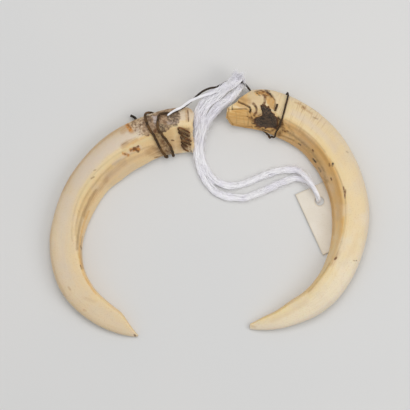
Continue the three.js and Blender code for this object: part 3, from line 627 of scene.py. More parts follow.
def inside_distance(flat, outline):
    """Distance in plan to the outline, positive inside it."""
    closed = np.vstack([outline, outline[:1]])
    distance = line_distance(flat, closed)
    inside = np.zeros(len(flat), bool)
    for (x0, y0), (x1, y1) in zip(closed[:-1], closed[1:]):
        crosses = (y0 > flat[:, 1]) != (y1 > flat[:, 1])
        span = y1 - y0 if abs(y1 - y0) > 1e-9 else 1e-9
        inside ^= crosses & (flat[:, 0] < x0 + (x1 - x0) * (flat[:, 1] - y0) / span)
    return np.where(inside, distance, -distance)


def between(first, second, low, high, t):
    return (high - t) / (high - low) * first + (t - low) / (high - low) * second


def smooth_path(points, step):
    """Points a step apart along a smooth curve through the given points."""
    rows = np.array(points, float)
    rows = np.vstack([2 * rows[0] - rows[1], rows, 2 * rows[-1] - rows[-2]])
    knots = np.concatenate([[0], np.cumsum(np.sqrt(np.linalg.norm(np.diff(rows, axis=0), axis=1)))])
    fine = []
    for i in range(1, len(rows) - 2):
        k = knots[i - 1 : i + 3]
        p = rows[i - 1 : i + 3]
        t = np.linspace(k[1], k[2], 12, endpoint=False)[:, None]
        a = [between(p[j], p[j + 1], k[j], k[j + 1], t) for j in range(3)]
        b = [between(a[j], a[j + 1], k[j], k[j + 2], t) for j in range(2)]
        fine.append(between(b[0], b[1], k[1], k[2], t))
    fine = np.vstack([*fine, rows[-2:-1]])
    along = np.concatenate([[0], np.cumsum(np.linalg.norm(np.diff(fine, axis=0), axis=1))])
    count = max(2, int(round(along[-1] / step)))
    places = np.linspace(0, along[-1], count + 1)
    return np.column_stack([np.interp(places, along, fine[:, axis]) for axis in range(3)])


def path_length(path):
    return float(np.linalg.norm(np.diff(path, axis=0), axis=1).sum())


def normalised(rows):
    return rows / np.maximum(np.linalg.norm(rows, axis=-1, keepdims=True), 1e-12)


def with_ends(rows):
    """The rows of a tube's points, with the first and the last again for the middles of its caps."""
    return np.concatenate([rows, rows[:1], rows[-1:]])


def capped_faces(rings, count):
    """Faces of a tube of rings, each of count points, and of its caps about two more points."""
    ring = np.arange(rings - 1)[:, None] * count
    i = np.arange(count)[None, :]
    following = (i + 1) % count
    quads = np.stack([ring + i, ring + following, ring + count + following, ring + count + i], axis=-1)
    faces = quads.reshape(-1, 4).tolist()
    first_middle = rings * count
    last_ring = first_middle - count
    for i in range(count):
        following = (i + 1) % count
        faces.append([first_middle, following, i])
        faces.append([first_middle + 1, last_ring + i, last_ring + following])
    return faces


def closed_tube(path, radii, sides):
    """Vertices and faces of a capped tube along a path, with one radius for each of its points."""
    ahead = normalised(np.gradient(path, axis=0))
    across = np.zeros_like(path)
    side = np.cross(ahead[0], (0.3, 0.5, 0.8))
    for k, forward in enumerate(ahead):
        side = side - (side @ forward) * forward
        side = side / np.linalg.norm(side)
        across[k] = side
    up = np.cross(ahead, across)
    angle = np.linspace(0, 2 * math.pi, sides, endpoint=False)[None, :, None]
    ring = np.cos(angle) * across[:, None, :] + np.sin(angle) * up[:, None, :]
    vertices = (path[:, None, :] + np.asarray(radii)[:, None, None] * ring).reshape(-1, 3)
    return np.vstack([vertices, path[:1], path[-1:]]), capped_faces(len(path), sides)


def joined(tubes):
    """The vertices and faces of many tubes as those of one mesh."""
    faces = []
    start = 0
    for vertices, tube_faces in tubes:
        faces += [[v + start for v in face] for face in tube_faces]
        start += len(vertices)
    return np.vstack([vertices for vertices, _ in tubes]), faces


def make_mesh(name, vertices, faces, finish, attributes=None):
    """A smooth-shaded mesh object from millimetres, with float or vector attributes on its points."""
    mesh = bpy.data.meshes.new(name)
    mesh.from_pydata((np.asarray(vertices) * MM).tolist(), [], [[int(v) for v in face] for face in faces])
    mesh.polygons.foreach_set("use_smooth", np.ones(len(mesh.polygons), bool))
    for key, values in (attributes or {}).items():
        values = np.asarray(values, np.float32)
        if values.ndim == 1:
            mesh.attributes.new(key, "FLOAT", "POINT").data.foreach_set("value", values)
        else:
            mesh.attributes.new(key, "FLOAT_VECTOR", "POINT").data.foreach_set("vector", values.ravel())
    mesh.update()
    mesh.materials.append(finish)
    made = bpy.data.objects.new(name, mesh)
    bpy.context.scene.collection.objects.link(made)
    return made


def make_piece(name, vertices, faces, finish, slot, node=None, attributes=None):
    """A mesh fixed to the body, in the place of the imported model's node where one is given."""
    piece = make_mesh(name, vertices, faces, finish, attributes)
    if node:
        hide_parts(node)
    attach(piece, "root")
    return piece


# ------------------------------------------------------------------ node materials


def colour(red, green, blue):
    """A linear colour from the usual 0 to 255."""
    parts = [v / 255 for v in (red, green, blue)]
    linear = [v / 12.92 if v <= 0.04045 else ((v + 0.055) / 1.055) ** 2.4 for v in parts]
    return (*linear, 1.0)


TONES = {
    "cream": colour(233, 214, 181),
    "milk": colour(224, 208, 190),
    "straw": colour(234, 211, 160),
    "sand": colour(222, 192, 144),
    # Mauve-grey: painted shade along the left tusk's inner face.
    "mauve": colour(190, 156, 124),
    "tan": colour(192, 150, 98),
    "line": colour(136, 94, 46),
    "gold": colour(218, 164, 88),
    "pale_gold": colour(238, 197, 130),
    "resin": colour(176, 142, 108),
    "brown_resin": colour(136, 100, 68),
    "dark_resin": colour(84, 64, 48),
    # Pale lilac on the glossy resin film: a painted highlight.
    "pale_resin": colour(206, 190, 184),
    "rust": colour(204, 132, 44),
    "brown": colour(112, 68, 22),
    "dark": colour(48, 32, 18),
}


class Finish:
    """A node material. Each method adds a node and returns its output."""

    def __init__(self, name):
        self.material = bpy.data.materials.new(name)
        self.material.use_nodes = True
        self.tree = self.material.node_tree

    def put(self, socket, value):
        if isinstance(value, bpy.types.NodeSocket):
            self.tree.links.new(value, socket)
        else:
            socket.default_value = value

    def node(self, kind, inputs, output, **settings):
        made = self.tree.nodes.new("ShaderNode" + kind)
        for key, value in settings.items():
            setattr(made, key, value)
        for key, value in inputs.items():
            self.put(made.inputs[key], value)
        return made.outputs[output]

    def shaded(self, **values):
        """The finished material, with these inputs of its surface set."""
        shader = self.tree.nodes["Principled BSDF"]
        for key, value in values.items():
            self.put(shader.inputs[key.replace("_", " ")], value)
        return self.material

    def mark(self, name, vector=False):
        return self.node("Attribute", {}, "Vector" if vector else "Fac", attribute_name=name)

    def place(self):
        return self.node("TexCoord", {}, "Object")

    def stretched(self, vector, scale):
        return self.node("VectorMath", {0: vector, 1: scale}, 0, operation="MULTIPLY")

    def noise(self, vector, scale, detail=3.0, distortion=0.0):
        inputs = {"Vector": vector, "Scale": scale, "Detail": detail, "Distortion": distortion}
        return self.node("TexNoise", inputs, "Fac")

    def cracks(self, vector, scale):
        return self.node(
            "TexVoronoi", {"Vector": vector, "Scale": scale}, "Distance", feature="DISTANCE_TO_EDGE"
        )

    def maths(self, operation, first, second):
        return self.node("Math", {0: first, 1: second}, 0, operation=operation)

    def add(self, first, second):
        return self.maths("ADD", first, second)

    def times(self, first, second):
        return self.maths("MULTIPLY", first, second)

    def span(self, value, low, high, to_low=0.0, to_high=1.0):
        inputs = {"Value": value, "From Min": low, "From Max": high, "To Min": to_low, "To Max": to_high}
        return self.node("MapRange", inputs, "Result", interpolation_type="SMOOTHSTEP")

    def mix(self, factor, first, second):
        return self.node("Mix", {0: factor, 6: first, 7: second}, 2, data_type="RGBA")

    def over(self, shown, shade, pattern, low, high, most=1.0):
        """A colour with another over it, up to most of it, where the pattern passes low to high."""
        return self.mix(self.span(pattern, low, high, 0.0, most), shown, shade)

    def ramp(self, value, stops):
        """Colours by value. Each stop is [value, red, green, blue]."""
        output = self.node("ValToRGB", {"Fac": value}, "Color")
        output.node.color_ramp.interpolation = "EASE"
        elements = output.node.color_ramp.elements
        elements[0].position = stops[0][0]
        elements[1].position = stops[-1][0]
        elements[0].color = colour(*stops[0][1:])
        elements[1].color = colour(*stops[-1][1:])
        for position, *shade in stops[1:-1]:
            elements.new(position).color = colour(*shade)
        return output

    def bump(self, height, distance, strength):
        inputs = {"Height": height, "Distance": distance, "Strength": strength}
        return self.node("Bump", inputs, "Normal")


def tooth_finish(tusk):
    """Enamel and dentine in the tusk's colours, with its marks over them."""
    finish = Finish(tusk["slot"])
    place = finish.place()
    grain = finish.mark("grain", vector=True)
    along = finish.mark("along")
    streaks = finish.noise(finish.stretched(grain, (70, 1500, 1)), 1.0, 5.0)
    long_streaks = finish.noise(finish.stretched(grain, (22, 420, 1)), 1.0, 3.0)
    clouds = finish.noise(place, 85, 3.0)
    fine = finish.noise(place, 1700, 4.0)
    grit = finish.noise(place, 700, 5.0)

    wander = finish.add(finish.span(long_streaks, 0.3, 0.7, -0.045, 0.045), finish.mark("facet"))
    wander = finish.add(wander, finish.span(streaks, 0.3, 0.7, -0.03, 0.03))
    whereabouts = finish.add(along, finish.span(clouds, 0.3, 0.7, -0.06, 0.06))
    change = finish.span(whereabouts, *tusk["change"])
    body = finish.mix(change, finish.ramp(wander, tusk["near"]), finish.ramp(wander, tusk["far"]))
    body = finish.over(body, TONES["milk"], clouds, 0.4, 0.7, 0.35)
    body = finish.over(body, TONES["straw"], streaks, 0.48, 0.75, 0.28)
    window = finish.times(finish.span(along, 0.1, 0.15), finish.span(along, 0.2, 0.34, 1.0, 0.0))
    cross_lines = finish.noise(finish.stretched(grain, (1500, 90, 1)), 1.0, 2.0)
    cross_lines = finish.times(finish.span(cross_lines, 0.5, 0.68, 0.0, tusk["hairlines"]), window)
    body = finish.mix(cross_lines, body, TONES["tan"])
    body = finish.over(body, TONES["tan"], fine, 0.55, 0.72, 0.3)
    body = finish.over(body, TONES["sand"], grit, 0.56, 0.72, 0.25)
    shown = finish.mix(finish.mark("under"), body, TONES["cream"])

    def covered(shown, kind, shade, opacity, pattern, least, most):
        """The colour covered with a mark, more or less of it as the pattern goes."""
        amount = finish.times(finish.mark(kind), finish.span(pattern, 0.34, 0.64, least, most))
        return finish.mix(finish.times(finish.maths("MINIMUM", amount, 1.0), opacity), shown, shade)

    # The mauve streaks among these are painted shade on the inner face.
    for kind, opacity in (("milk", 0.7), ("straw", 0.75), ("sand", 0.8), ("mauve", 0.75), ("tan", 0.75)):
        shown = covered(shown, kind, TONES[kind], opacity, streaks, 0.5, 1.0)
    gold = finish.over(TONES["gold"], TONES["pale_gold"], streaks, 0.36, 0.66)
    shown = covered(shown, "gold", gold, 0.95, grit, 0.7, 1.05)
    shown = covered(shown, "line", TONES["line"], 0.9, streaks, 0.5, 1.1)

    resin = finish.mark("resin")
    film = finish.over(TONES["brown_resin"], TONES["resin"], finish.noise(place, 420, 6.0), 0.38, 0.6)
    # The pale lilac patches over the film are a painted highlight on the glossy resin.
    film = finish.mix(finish.mark("pale_resin"), film, TONES["pale_resin"])
    film = finish.over(film, TONES["dark_resin"], grit, 0.54, 0.64, 0.75)
    crust = finish.over(TONES["dark"], TONES["dark_resin"], finish.cracks(place, 1000), 0.02, 0.2)
    crust = finish.over(crust, TONES["resin"], fine, 0.5, 0.64, 0.7)
    film = covered(film, "dark_resin", crust, 0.95, grit, 0.6, 1.4)
    cover = finish.add(resin, finish.span(grit, 0.3, 0.7, -0.45, 0.45))
    cover = finish.times(cover, finish.span(resin, 0.0, 0.3))
    shown = finish.over(shown, film, cover, 0.0, 1.0, 0.92)
    for kind, opacity, least in (("rust", 0.9, 0.5), ("brown", 0.92, 0.55), ("dark", 0.95, 0.6)):
        shown = covered(shown, kind, TONES[kind], opacity, grit, least, 1.3)
    shown = finish.mix(finish.mark("cavity"), shown, TONES["brown"])

    dulled = finish.maths("MAXIMUM", resin, finish.mark("gold"))
    gloss = finish.add(finish.span(dulled, 0.0, 1.0, 0.4, 0.64), finish.span(fine, 0.3, 0.7, -0.05, 0.08))
    stained = dulled
    for kind in ("line", "rust", "brown", "dark"):
        stained = finish.maths("MAXIMUM", stained, finish.mark(kind))
    height = finish.add(finish.times(streaks, 0.5), finish.times(fine, 0.3))
    height = finish.add(height, finish.times(grit, finish.add(resin, finish.mark("gold"))))
    return finish.shaded(
        Base_Color=shown,
        Roughness=gloss,
        Normal=finish.bump(height, 0.00014, 0.5),
        IOR=1.5,
        Subsurface_Weight=finish.span(stained, 0.0, 1.0, 0.14, 0.0),
        Subsurface_Radius=(0.0025, 0.0016, 0.0009),
        Subsurface_Scale=1.0,
    )


def iron_finish(name, dark, brown, lift):
    finish = Finish(name)
    patches = finish.noise(finish.place(), 300, 5.0)
    grit = finish.noise(finish.place(), 2600, 4.0)
    shown = finish.over(dark, brown, patches, 0.4, 0.62)
    # The third colour goes on as fine pale flecks: partly paler rust and partly painted highlight.
    shown = finish.over(shown, lift, grit, 0.52, 0.72, 0.6)
    shown = finish.mix(finish.times(finish.mark("black"), 0.85), shown, colour(30, 25, 21))
    return finish.shaded(
        Base_Color=shown,
        Metallic=0.1,
        Roughness=finish.span(grit, 0.3, 0.7, 0.6, 0.9),
        Normal=finish.bump(finish.add(grit, patches), 0.0002, 0.8),
    )


def pitch_finish():
    finish = Finish("pitch")
    lumps = finish.noise(finish.place(), 330, 6.0)
    grit = finish.noise(finish.place(), 2200, 5.0)
    shown = finish.over(colour(36, 27, 19), colour(74, 56, 40), lumps, 0.4, 0.62)
    # Pale grey-brown flecks: painted highlight on the crust.
    shown = finish.over(shown, colour(132, 108, 84), grit, 0.5, 0.62, 0.8)
    rim = finish.add(finish.mark("rim"), finish.span(grit, 0.3, 0.7, -0.3, 0.3))
    shown = finish.over(shown, colour(120, 74, 34), rim, 0.45, 0.95, 0.8)
    return finish.shaded(
        Base_Color=shown,
        Roughness=finish.span(grit, 0.35, 0.65, 0.55, 0.9),
        Normal=finish.bump(finish.add(lumps, grit), 0.0005, 0.9),
    )


def cotton_finish():
    finish = Finish("cotton")
    clouds = finish.noise(finish.place(), 160, 3.0)
    fibres = finish.noise(finish.place(), 3500, 4.0)
    shown = finish.over(colour(253, 252, 254), colour(249, 247, 253), clouds, 0.35, 0.65)
    shown = finish.over(shown, colour(238, 235, 244), fibres, 0.55, 0.75, 0.3)
    relief = finish.bump(fibres, 0.0001, 0.6)
    return finish.shaded(
        Base_Color=shown, Roughness=0.95, Sheen_Weight=0.4, Sheen_Roughness=0.5, Normal=relief
    )


def paper_finish():
    finish = Finish("paper")
    clouds = finish.noise(finish.place(), 60, 3.0)
    fibres = finish.noise(finish.stretched(finish.place(), (900, 2200, 900)), 1.0, 5.0, 0.6)
    shown = finish.over(colour(240, 233, 221), colour(234, 226, 211), clouds, 0.35, 0.65)
    shown = finish.over(shown, colour(216, 205, 186), fibres, 0.55, 0.72, 0.4)
    shown = finish.mix(finish.times(finish.mark("edge"), 0.45), shown, colour(205, 188, 158))
    return finish.shaded(Base_Color=shown, Roughness=0.88, Normal=finish.bump(fibres, 0.00008, 0.7))


def floor_finish():
    finish = Finish("floor")
    clouds = finish.noise(finish.place(), 6, 2.0)
    grain = finish.noise(finish.place(), 900, 3.0)
    shown = finish.over(colour(228, 227, 225), colour(225, 225, 224), clouds, 0.3, 0.7)
    return finish.shaded(Base_Color=shown, Roughness=0.9, Normal=finish.bump(grain, 0.0001, 0.25))


# ------------------------------------------------------------------ the tusks


def station_value(stations, column, at):
    """One column of the stations at the given degrees, on a smooth curve through them."""
    rows = np.array(stations, float)
    places = rows[:, 0]
    values = rows[:, column]
    gaps = np.diff(places)
    rises = np.diff(values) / gaps
    slopes = np.empty(len(rows))
    slopes[0] = rises[0]
    slopes[-1] = rises[-1]
    slopes[1:-1] = (rises[:-1] * gaps[1:] + rises[1:] * gaps[:-1]) / (gaps[1:] + gaps[:-1])
    at = np.clip(at, 0, places[-1])
    k = np.clip(np.searchsorted(places, at, side="left") - 1, 0, len(rows) - 2)
    span = gaps[k]
    t = (at - places[k]) / span
    return (
        (2 * t**3 - 3 * t**2 + 1) * values[k]
        + (3 * t**2 - 2 * t**3) * values[k + 1]
        + (t**3 - 2 * t**2 + t) * span * slopes[k]
        + (t**3 - t**2) * span * slopes[k + 1]
    )


def section_at(tusk, at):
    """The rounded triangle at these degrees: keel disc, ridge disc and lower inner disc."""
    inner, ridge, outer, belly, crest = (station_value(tusk["stations"], c, at) for c in range(1, 6))
    height = crest - belly
    size = np.minimum(height, outer - inner)
    keel = KEEL_ROUND * size
    round_ridge = RIDGE_ROUND * size
    return {
        "inner": inner,
        "outer": outer,
        "crown": CROWN * (outer - inner),
        "middle": ((inner + outer) / 2, (belly + crest) / 2),
        "x": np.stack([outer - keel, np.maximum(ridge, inner + round_ridge), inner + round_ridge]),
        "z": np.stack([belly + KEEL_HEIGHT * height, crest - round_ridge, belly + round_ridge]),
        "r": np.stack([keel, round_ridge, round_ridge]),
    }


def section_point(section, angle, lift=0.0):
    """Radius and height of the section's point whose outward normal has this angle in radians."""
    out = np.cos(angle)
    up = np.sin(angle)
    reach = section["x"] * out + section["z"] * up + section["r"]
    farthest = reach.max(axis=0)
    weights = np.exp((reach - farthest) / section["crown"])
    total = weights.sum(axis=0)
    support = farthest + section["crown"] * np.log(total) + lift
    turn = (weights / total * (section["z"] * out - section["x"] * up)).sum(axis=0)
    return support * out - turn * up, support * up + turn * out


def section_row(tusk, at, angles):
    """Radius and height at each of the angles, for each of the degrees."""
    parts = {k: np.asarray(v)[..., None] for k, v in section_at(tusk, at).items() if k != "middle"}
    return section_point(parts, angles)


def within(section, angle, lift, share):
    radius, height = section_point(section, angle, lift)
    middle_radius, middle_height = section["middle"]
    return middle_radius + share * (radius - middle_radius), middle_height + share * (height - middle_height)


def tusk_point(tusk, at, angle, lift=0.0, share=1.0):
    """Points of the tusk: degrees from the root end, angle round the section in degrees, lift off
    the surface, and share of the section for points inside it."""
    given = (np.asarray(v, float) for v in (at, angle, lift, share))
    at, angle, lift, share = np.broadcast_arrays(*given)
    radians = np.radians(angle)
    unbroken = section_at(tusk, at)
    unbroken_radius, _ = within(unbroken, radians, lift, share)
    across = (unbroken_radius - unbroken["inner"]) / (unbroken["outer"] - unbroken["inner"])
    shares, degrees = np.array(tusk["break_line"]).T
    fade = np.maximum(0, 1 - np.maximum(at, 0) / BREAK_FADE) ** 2
    place = at + np.interp(across, shares, degrees) * fade
    radius, height = within(section_at(tusk, place), radians, lift, share)
    return np.stack([*plan_point(tusk, place, radius), height], axis=-1)


def spread_angles(tusk, at):
    """Angles round each section: its points are evenly spaced, and closest on the upper side."""
    angles = np.linspace(0, 2 * math.pi, 1441)
    radius, height = section_row(tusk, at, angles)
    steps = np.hypot(np.diff(radius, axis=1), np.diff(height, axis=1))
    steps = steps + 0.2 * steps.sum(axis=1, keepdims=True) / steps.shape[1]
    steps *= 0.25 + 0.75 * smoothstep(np.sin(angles[1:]), -0.4, -0.05)
    along = np.concatenate([np.zeros((len(at), 1)), np.cumsum(steps, axis=1)], axis=1)
    along /= along[:, -1:]
    wanted = np.linspace(0, 1, ROUND_POINTS, endpoint=False)
    return np.degrees(np.array([np.interp(wanted, row, angles) for row in along]))


def height_above(tusk, x, y):
    """Height of the tusk's upper surface over a point in plan."""
    dx = x - tusk["centre"][0]
    dy = y - tusk["centre"][1]
    at = np.array((math.degrees(math.atan2(dy, dx)) - tusk["start"]) * tusk["side"])
    angles = np.linspace(0, math.pi, 721)
    reached, _ = section_row(tusk, at, angles)
    angle = np.interp(-math.hypot(dx, dy), -reached, angles)
    return float(section_point(section_at(tusk, at), angle)[1])


def ring_plan(tusk):
    """[degrees, share] of each ring, from the bottom of the cavity over the broken end to the tip."""
    tip = tusk["stations"][-1][0]
    rows = []
    for k in range(CAVITY_RINGS, 0, -1):
        depth = k / CAVITY_RINGS
        rows.append([CAVITY_DEPTH * depth, CAVITY_MOUTH + (CAVITY_END - CAVITY_MOUTH) * depth**1.5])
    for k in range(END_RINGS):
        rows.append([0.0, CAVITY_MOUTH + (1 - CAVITY_MOUTH) * k / END_RINGS])
    rows += [[at, 1.0] for at in np.arange(0, ROOT_END, ROOT_STEP)]
    rows += [[at, 1.0] for at in np.linspace(ROOT_END, tip, int((tip - ROOT_END) / SHAFT_STEP))]
    for k in range(1, TIP_RINGS):
        turn = math.pi / 2 * k / TIP_RINGS
        rows.append([tip + TIP_LENGTH * math.sin(turn), math.cos(turn)])
    return np.array(rows)


def outward(points):
    """Outward unit normals of a grid of rings."""
    along = np.gradient(points, axis=0)
    around = np.roll(points, -1, axis=1) - np.roll(points, 1, axis=1)
    normals = normalised(np.cross(around, along))
    middle = points.mean(axis=1, keepdims=True)
    body = slice(len(points) // 3, 2 * len(points) // 3)
    facing = ((points - middle) * normals)[body].sum()
    return normals if facing > 0 else -normals


def draw_marks(tusk, flat, top, wobble):
    """How strongly each kind of mark shows at each point."""
    marks = {kind: np.zeros(len(flat)) for kind in MARK_KINDS}
    lines = [(kind, row, plan(row[3:])) for kind, rows in tusk["strokes"].items() for row in rows]
    for kind, rows in tusk["streaks"].items():
        lines += [(kind, row, along_tusk(tusk, row[3:])) for row in rows]
    for kind, (half_width, softness, strength, *_), line in lines:
        away = line_distance(flat[:, :2], line) + wobble * min(1, half_width)
        marks[kind] = np.maximum(marks[kind], strength * band(away, half_width, softness) * top)
    for kind, softness, strength, *outline in tusk["areas"]:
        depth = inside_distance(flat[:, :2], plan(outline)) + 2 * wobble
        cover = strength * smoothstep(depth, -0.5 * softness, 0.5 * softness)
        marks[kind] = np.maximum(marks[kind], cover * top)
    return marks


def skin_relief(tusk, marks, flat, upright, top, wobble, tip_fade):
    """How far the skin stands out at each point: waves, grooves, the lowered step, stains, resin."""
    seed = tusk["seed"]
    relief = WAVES * rough(flat, 16, seed + 3) + RIPPLES * noise(flat, 3.0, seed + 6)
    relief *= tip_fade
    for half_width, softness, depth, *places in tusk["grooves"]:
        away = line_distance(flat[:, :2], plan(places)) + 0.5 * wobble
        relief -= depth * band(away, half_width, softness) * top
    if tusk["step"]:
        inside = inside_distance(flat[:, :2], plan(tusk["step"])) + 0.4 * wobble
        relief -= STEP_DEPTH * smoothstep(inside, -0.25, 0.35) * smoothstep(upright, 0.1, 0.6)
    relief -= BROWN_DEPTH * marks["brown"] + DARK_DEPTH * marks["dark"]
    relief += RESIN_HEIGHT * marks["resin"] * (1 + noise(flat, 1.1, seed + 9))
    return relief


def build_tusk(tusk):
    rings = ring_plan(tusk)
    at, share = rings.T[:, :, None]
    angles = spread_angles(tusk, rings[:, 0])
    points = tusk_point(tusk, at, angles, 0.0, share)
    flat = points.reshape(-1, 3)
    plain = outward(points).reshape(-1, 3)
    tip = tusk["stations"][-1][0]
    seed = tusk["seed"]

    def each(values):
        """Values of the rings as values of the points."""
        return np.broadcast_to(values, angles.shape).reshape(-1)

    on_skin = each(share > 0.999)
    top = smoothstep(plain[:, 2], -0.1, 0.25) * on_skin
    wobble = 0.28 * noise(flat, 1.3, seed) + 0.14 * noise(flat, 0.6, seed + 1)
    attributes = draw_marks(tusk, flat, top, wobble)
    tip_fade = each(smoothstep(tip - at, 4, 30))
    relief = skin_relief(tusk, attributes, flat, plain[:, 2], top, wobble, tip_fade)
    moved = flat + plain * (relief * on_skin)[:, None]

    azimuth = np.radians(tusk["start"] + tusk["side"] * each(at))
    forward = tusk["side"] * np.column_stack([-np.sin(azimuth), np.cos(azimuth), np.zeros(len(azimuth))])
    jagged = 0.5 * rough(flat, 3.2, seed + 12) + 0.18 * noise(flat, 0.8, seed + 15)
    broken = each(smoothstep(at, 3.0, 0.0)) * smoothstep(each(share), CAVITY_MOUTH, CAVITY_MOUTH + 0.1)
    moved += forward * (broken * (jagged + 0.35 * smoothstep(each(share), 0.9, 1.0)))[:, None]
    moved[:, 2] = np.maximum(moved[:, 2], LOWEST)

    section = section_at(tusk, at)
    inner = each(section["inner"])
    width = each(section["outer"]) - inner
    across = (np.hypot(flat[:, 0] - tusk["centre"][0], flat[:, 1] - tusk["centre"][1]) - inner) / width
    ridge = (each(np.maximum(section["x"][1], section["inner"] + 0.5)) - inner) / width
    past_ridge = 0.5 + 0.5 * (across - ridge) / (1 - ridge)
    length = each(np.radians(at) * MEAN_RADIUS)
    arcs = np.linalg.norm(np.diff(points, axis=1, append=points[:, :1]), axis=2)
    around = (np.cumsum(arcs, axis=1) - arcs).reshape(-1)
    attributes["facet"] = np.clip(np.where(across < ridge, 0.5 * across / ridge, past_ridge), 0, 1)
    attributes["along"] = length / (np.radians(tip) * MEAN_RADIUS)
    attributes["under"] = smoothstep(-plain[:, 2], 0.2, 0.7)
    attributes["cavity"] = each(1 - smoothstep(share, 0.45, 0.52))
    attributes["grain"] = np.column_stack([length, around, each(share) * 5]) * MM

    middles = [moved[:ROUND_POINTS].mean(axis=0), moved[-ROUND_POINTS:].mean(axis=0)]
    faces = capped_faces(len(rings), ROUND_POINTS)
    if tusk["side"] > 0:
        faces = [face[::-1] for face in faces]
    attributes = {key: with_ends(values) for key, values in attributes.items()}
    vertices = np.vstack([moved, middles])
    name = tusk["node"] + "_tooth"
    return make_piece(name, vertices, faces, tooth_finish(tusk), tusk["slot"], tusk["node"], attributes)


# ------------------------------------------------------------------ wires


def wrap_points(tusk, turns):
    """Points along a wire that hugs the tusk."""
    at = []
    angle = []
    for (from_at, from_angle), (to_at, to_angle) in zip(turns[:-1], turns[1:]):
        steps = math.ceil(abs(to_angle - from_angle) / WRAP_STEP) + 1
        at.extend(np.linspace(from_at, to_at, steps, endpoint=False))
        angle.extend(np.linspace(from_angle, to_angle, steps, endpoint=False))
    at.append(turns[-1][0])
    angle.append(turns[-1][1])
    return tusk_point(tusk, at, angle, WIRE_RADIUS + HUG_GAP).tolist()


def rusted_tube(name, path, radii, black, sides, seed, finish, slot, node):
    """A wire whose skin is pitted and flaked by rust. black says how dark each place along it is."""
    vertices, faces = closed_tube(path, radii, sides)
    away = normalised(vertices - with_ends(np.repeat(path, sides, axis=0)))
    bite = RUST_FLAKES * rough(vertices, 1.6, seed) + RUST_PITS * noise(vertices, 0.45, seed + 5)
    vertices = vertices + away * bite[:, None]
    vertices[:, 2] = np.maximum(vertices[:, 2], LOWEST)
    attributes = {"black": with_ends(np.repeat(black, sides))}
    return make_piece(name, vertices, faces, finish, slot, node, attributes)


def build_wires():
    """The lashing wire and its short end. Returns the lashing."""
    # The last colour gives pale flecks that are partly paler rust and partly painted highlight.
    iron = iron_finish("rusted_iron", colour(60, 42, 22), colour(104, 72, 34), colour(138, 106, 58))
    points = (
        WIRE_FREE_END
        + wrap_points(LEFT_TUSK, WIRE_ROUND_LEFT)
        + WIRE_BRIDGE
        + wrap_points(RIGHT_TUSK, WIRE_UNDER_RIGHT)
        + WIRE_KINK
        + wrap_points(RIGHT_TUSK, WIRE_OVER_RIGHT)
    )
    path = smooth_path(points, WIRE_STEP)
    share = np.linspace(0, 1, len(path))
    radii = np.interp(share, *np.transpose(WIRE_THINNING))
    black = np.interp(share, *np.transpose(WIRE_BLACK))
    seed = SEEDS["lashing"]
    lashing = rusted_tube(
        "wire_lashing", path, radii, black, WIRE_SIDES, seed, iron, "rusted_iron", "lashing_wire"
    )
    stub = smooth_path(wrap_points(RIGHT_TUSK, WIRE_STUB), STUB_STEP)
    radii = np.full(len(stub), STUB_RADIUS)
    black = np.zeros(len(stub))
    seed = SEEDS["stub"]
    rusted_tube("wire_short_end", stub, radii, black, WIRE_SIDES, seed, iron, "rusted_iron", "wire_stub")
    return lashing


def build_coil():
    """Thin wire wound in slanting turns about a line down the tusk's root end. Each turn comes
    back beneath the next one."""
    # The pale gold last colour gives flecks that are partly paler rust and partly painted highlight.
    brown = iron_finish("brown_wire", colour(66, 38, 14), colour(132, 84, 38), colour(226, 186, 128))
    share = np.linspace(0, 1, COIL_POINTS)
    start, end = plan(COIL_AXIS)
    turn = 2 * math.pi * COIL_TURNS * share
    whole, phase = np.divmod(COIL_TURNS * share, 1)
    down = (whole + smoothstep(phase, 0.28, 0.72)) / COIL_TURNS
    places, right, left = np.array(COIL_REACH).T
    reach = np.where(np.cos(turn) > 0, np.interp(down, places, right), np.interp(down, places, left))
    points = []
    for part, angle, wide in zip(down, turn, reach):
        sway = COIL_SWAY * math.sin(13 * part) * math.sin(angle)
        x, y = start + (end - start) * part + np.array(COIL_ACROSS) * wide * math.cos(angle) + (sway, 0)
        lift = COIL_HEIGHT + COIL_RISE * math.sin(angle)
        points.append([x, y, height_above(LEFT_TUSK, x, y) + lift])
    path = smooth_path(points, COIL_STEP)
    radii = COIL_RADIUS * (1 + 0.14 * np.sin(np.linspace(0, 29, len(path))))
    black = np.zeros(len(path))
    seed = SEEDS["coil"]
    rusted_tube("brown_coil", path, radii, black, COIL_SIDES, seed, brown, "brown_wire", "end_coil")


# ------------------------------------------------------------------ pitch


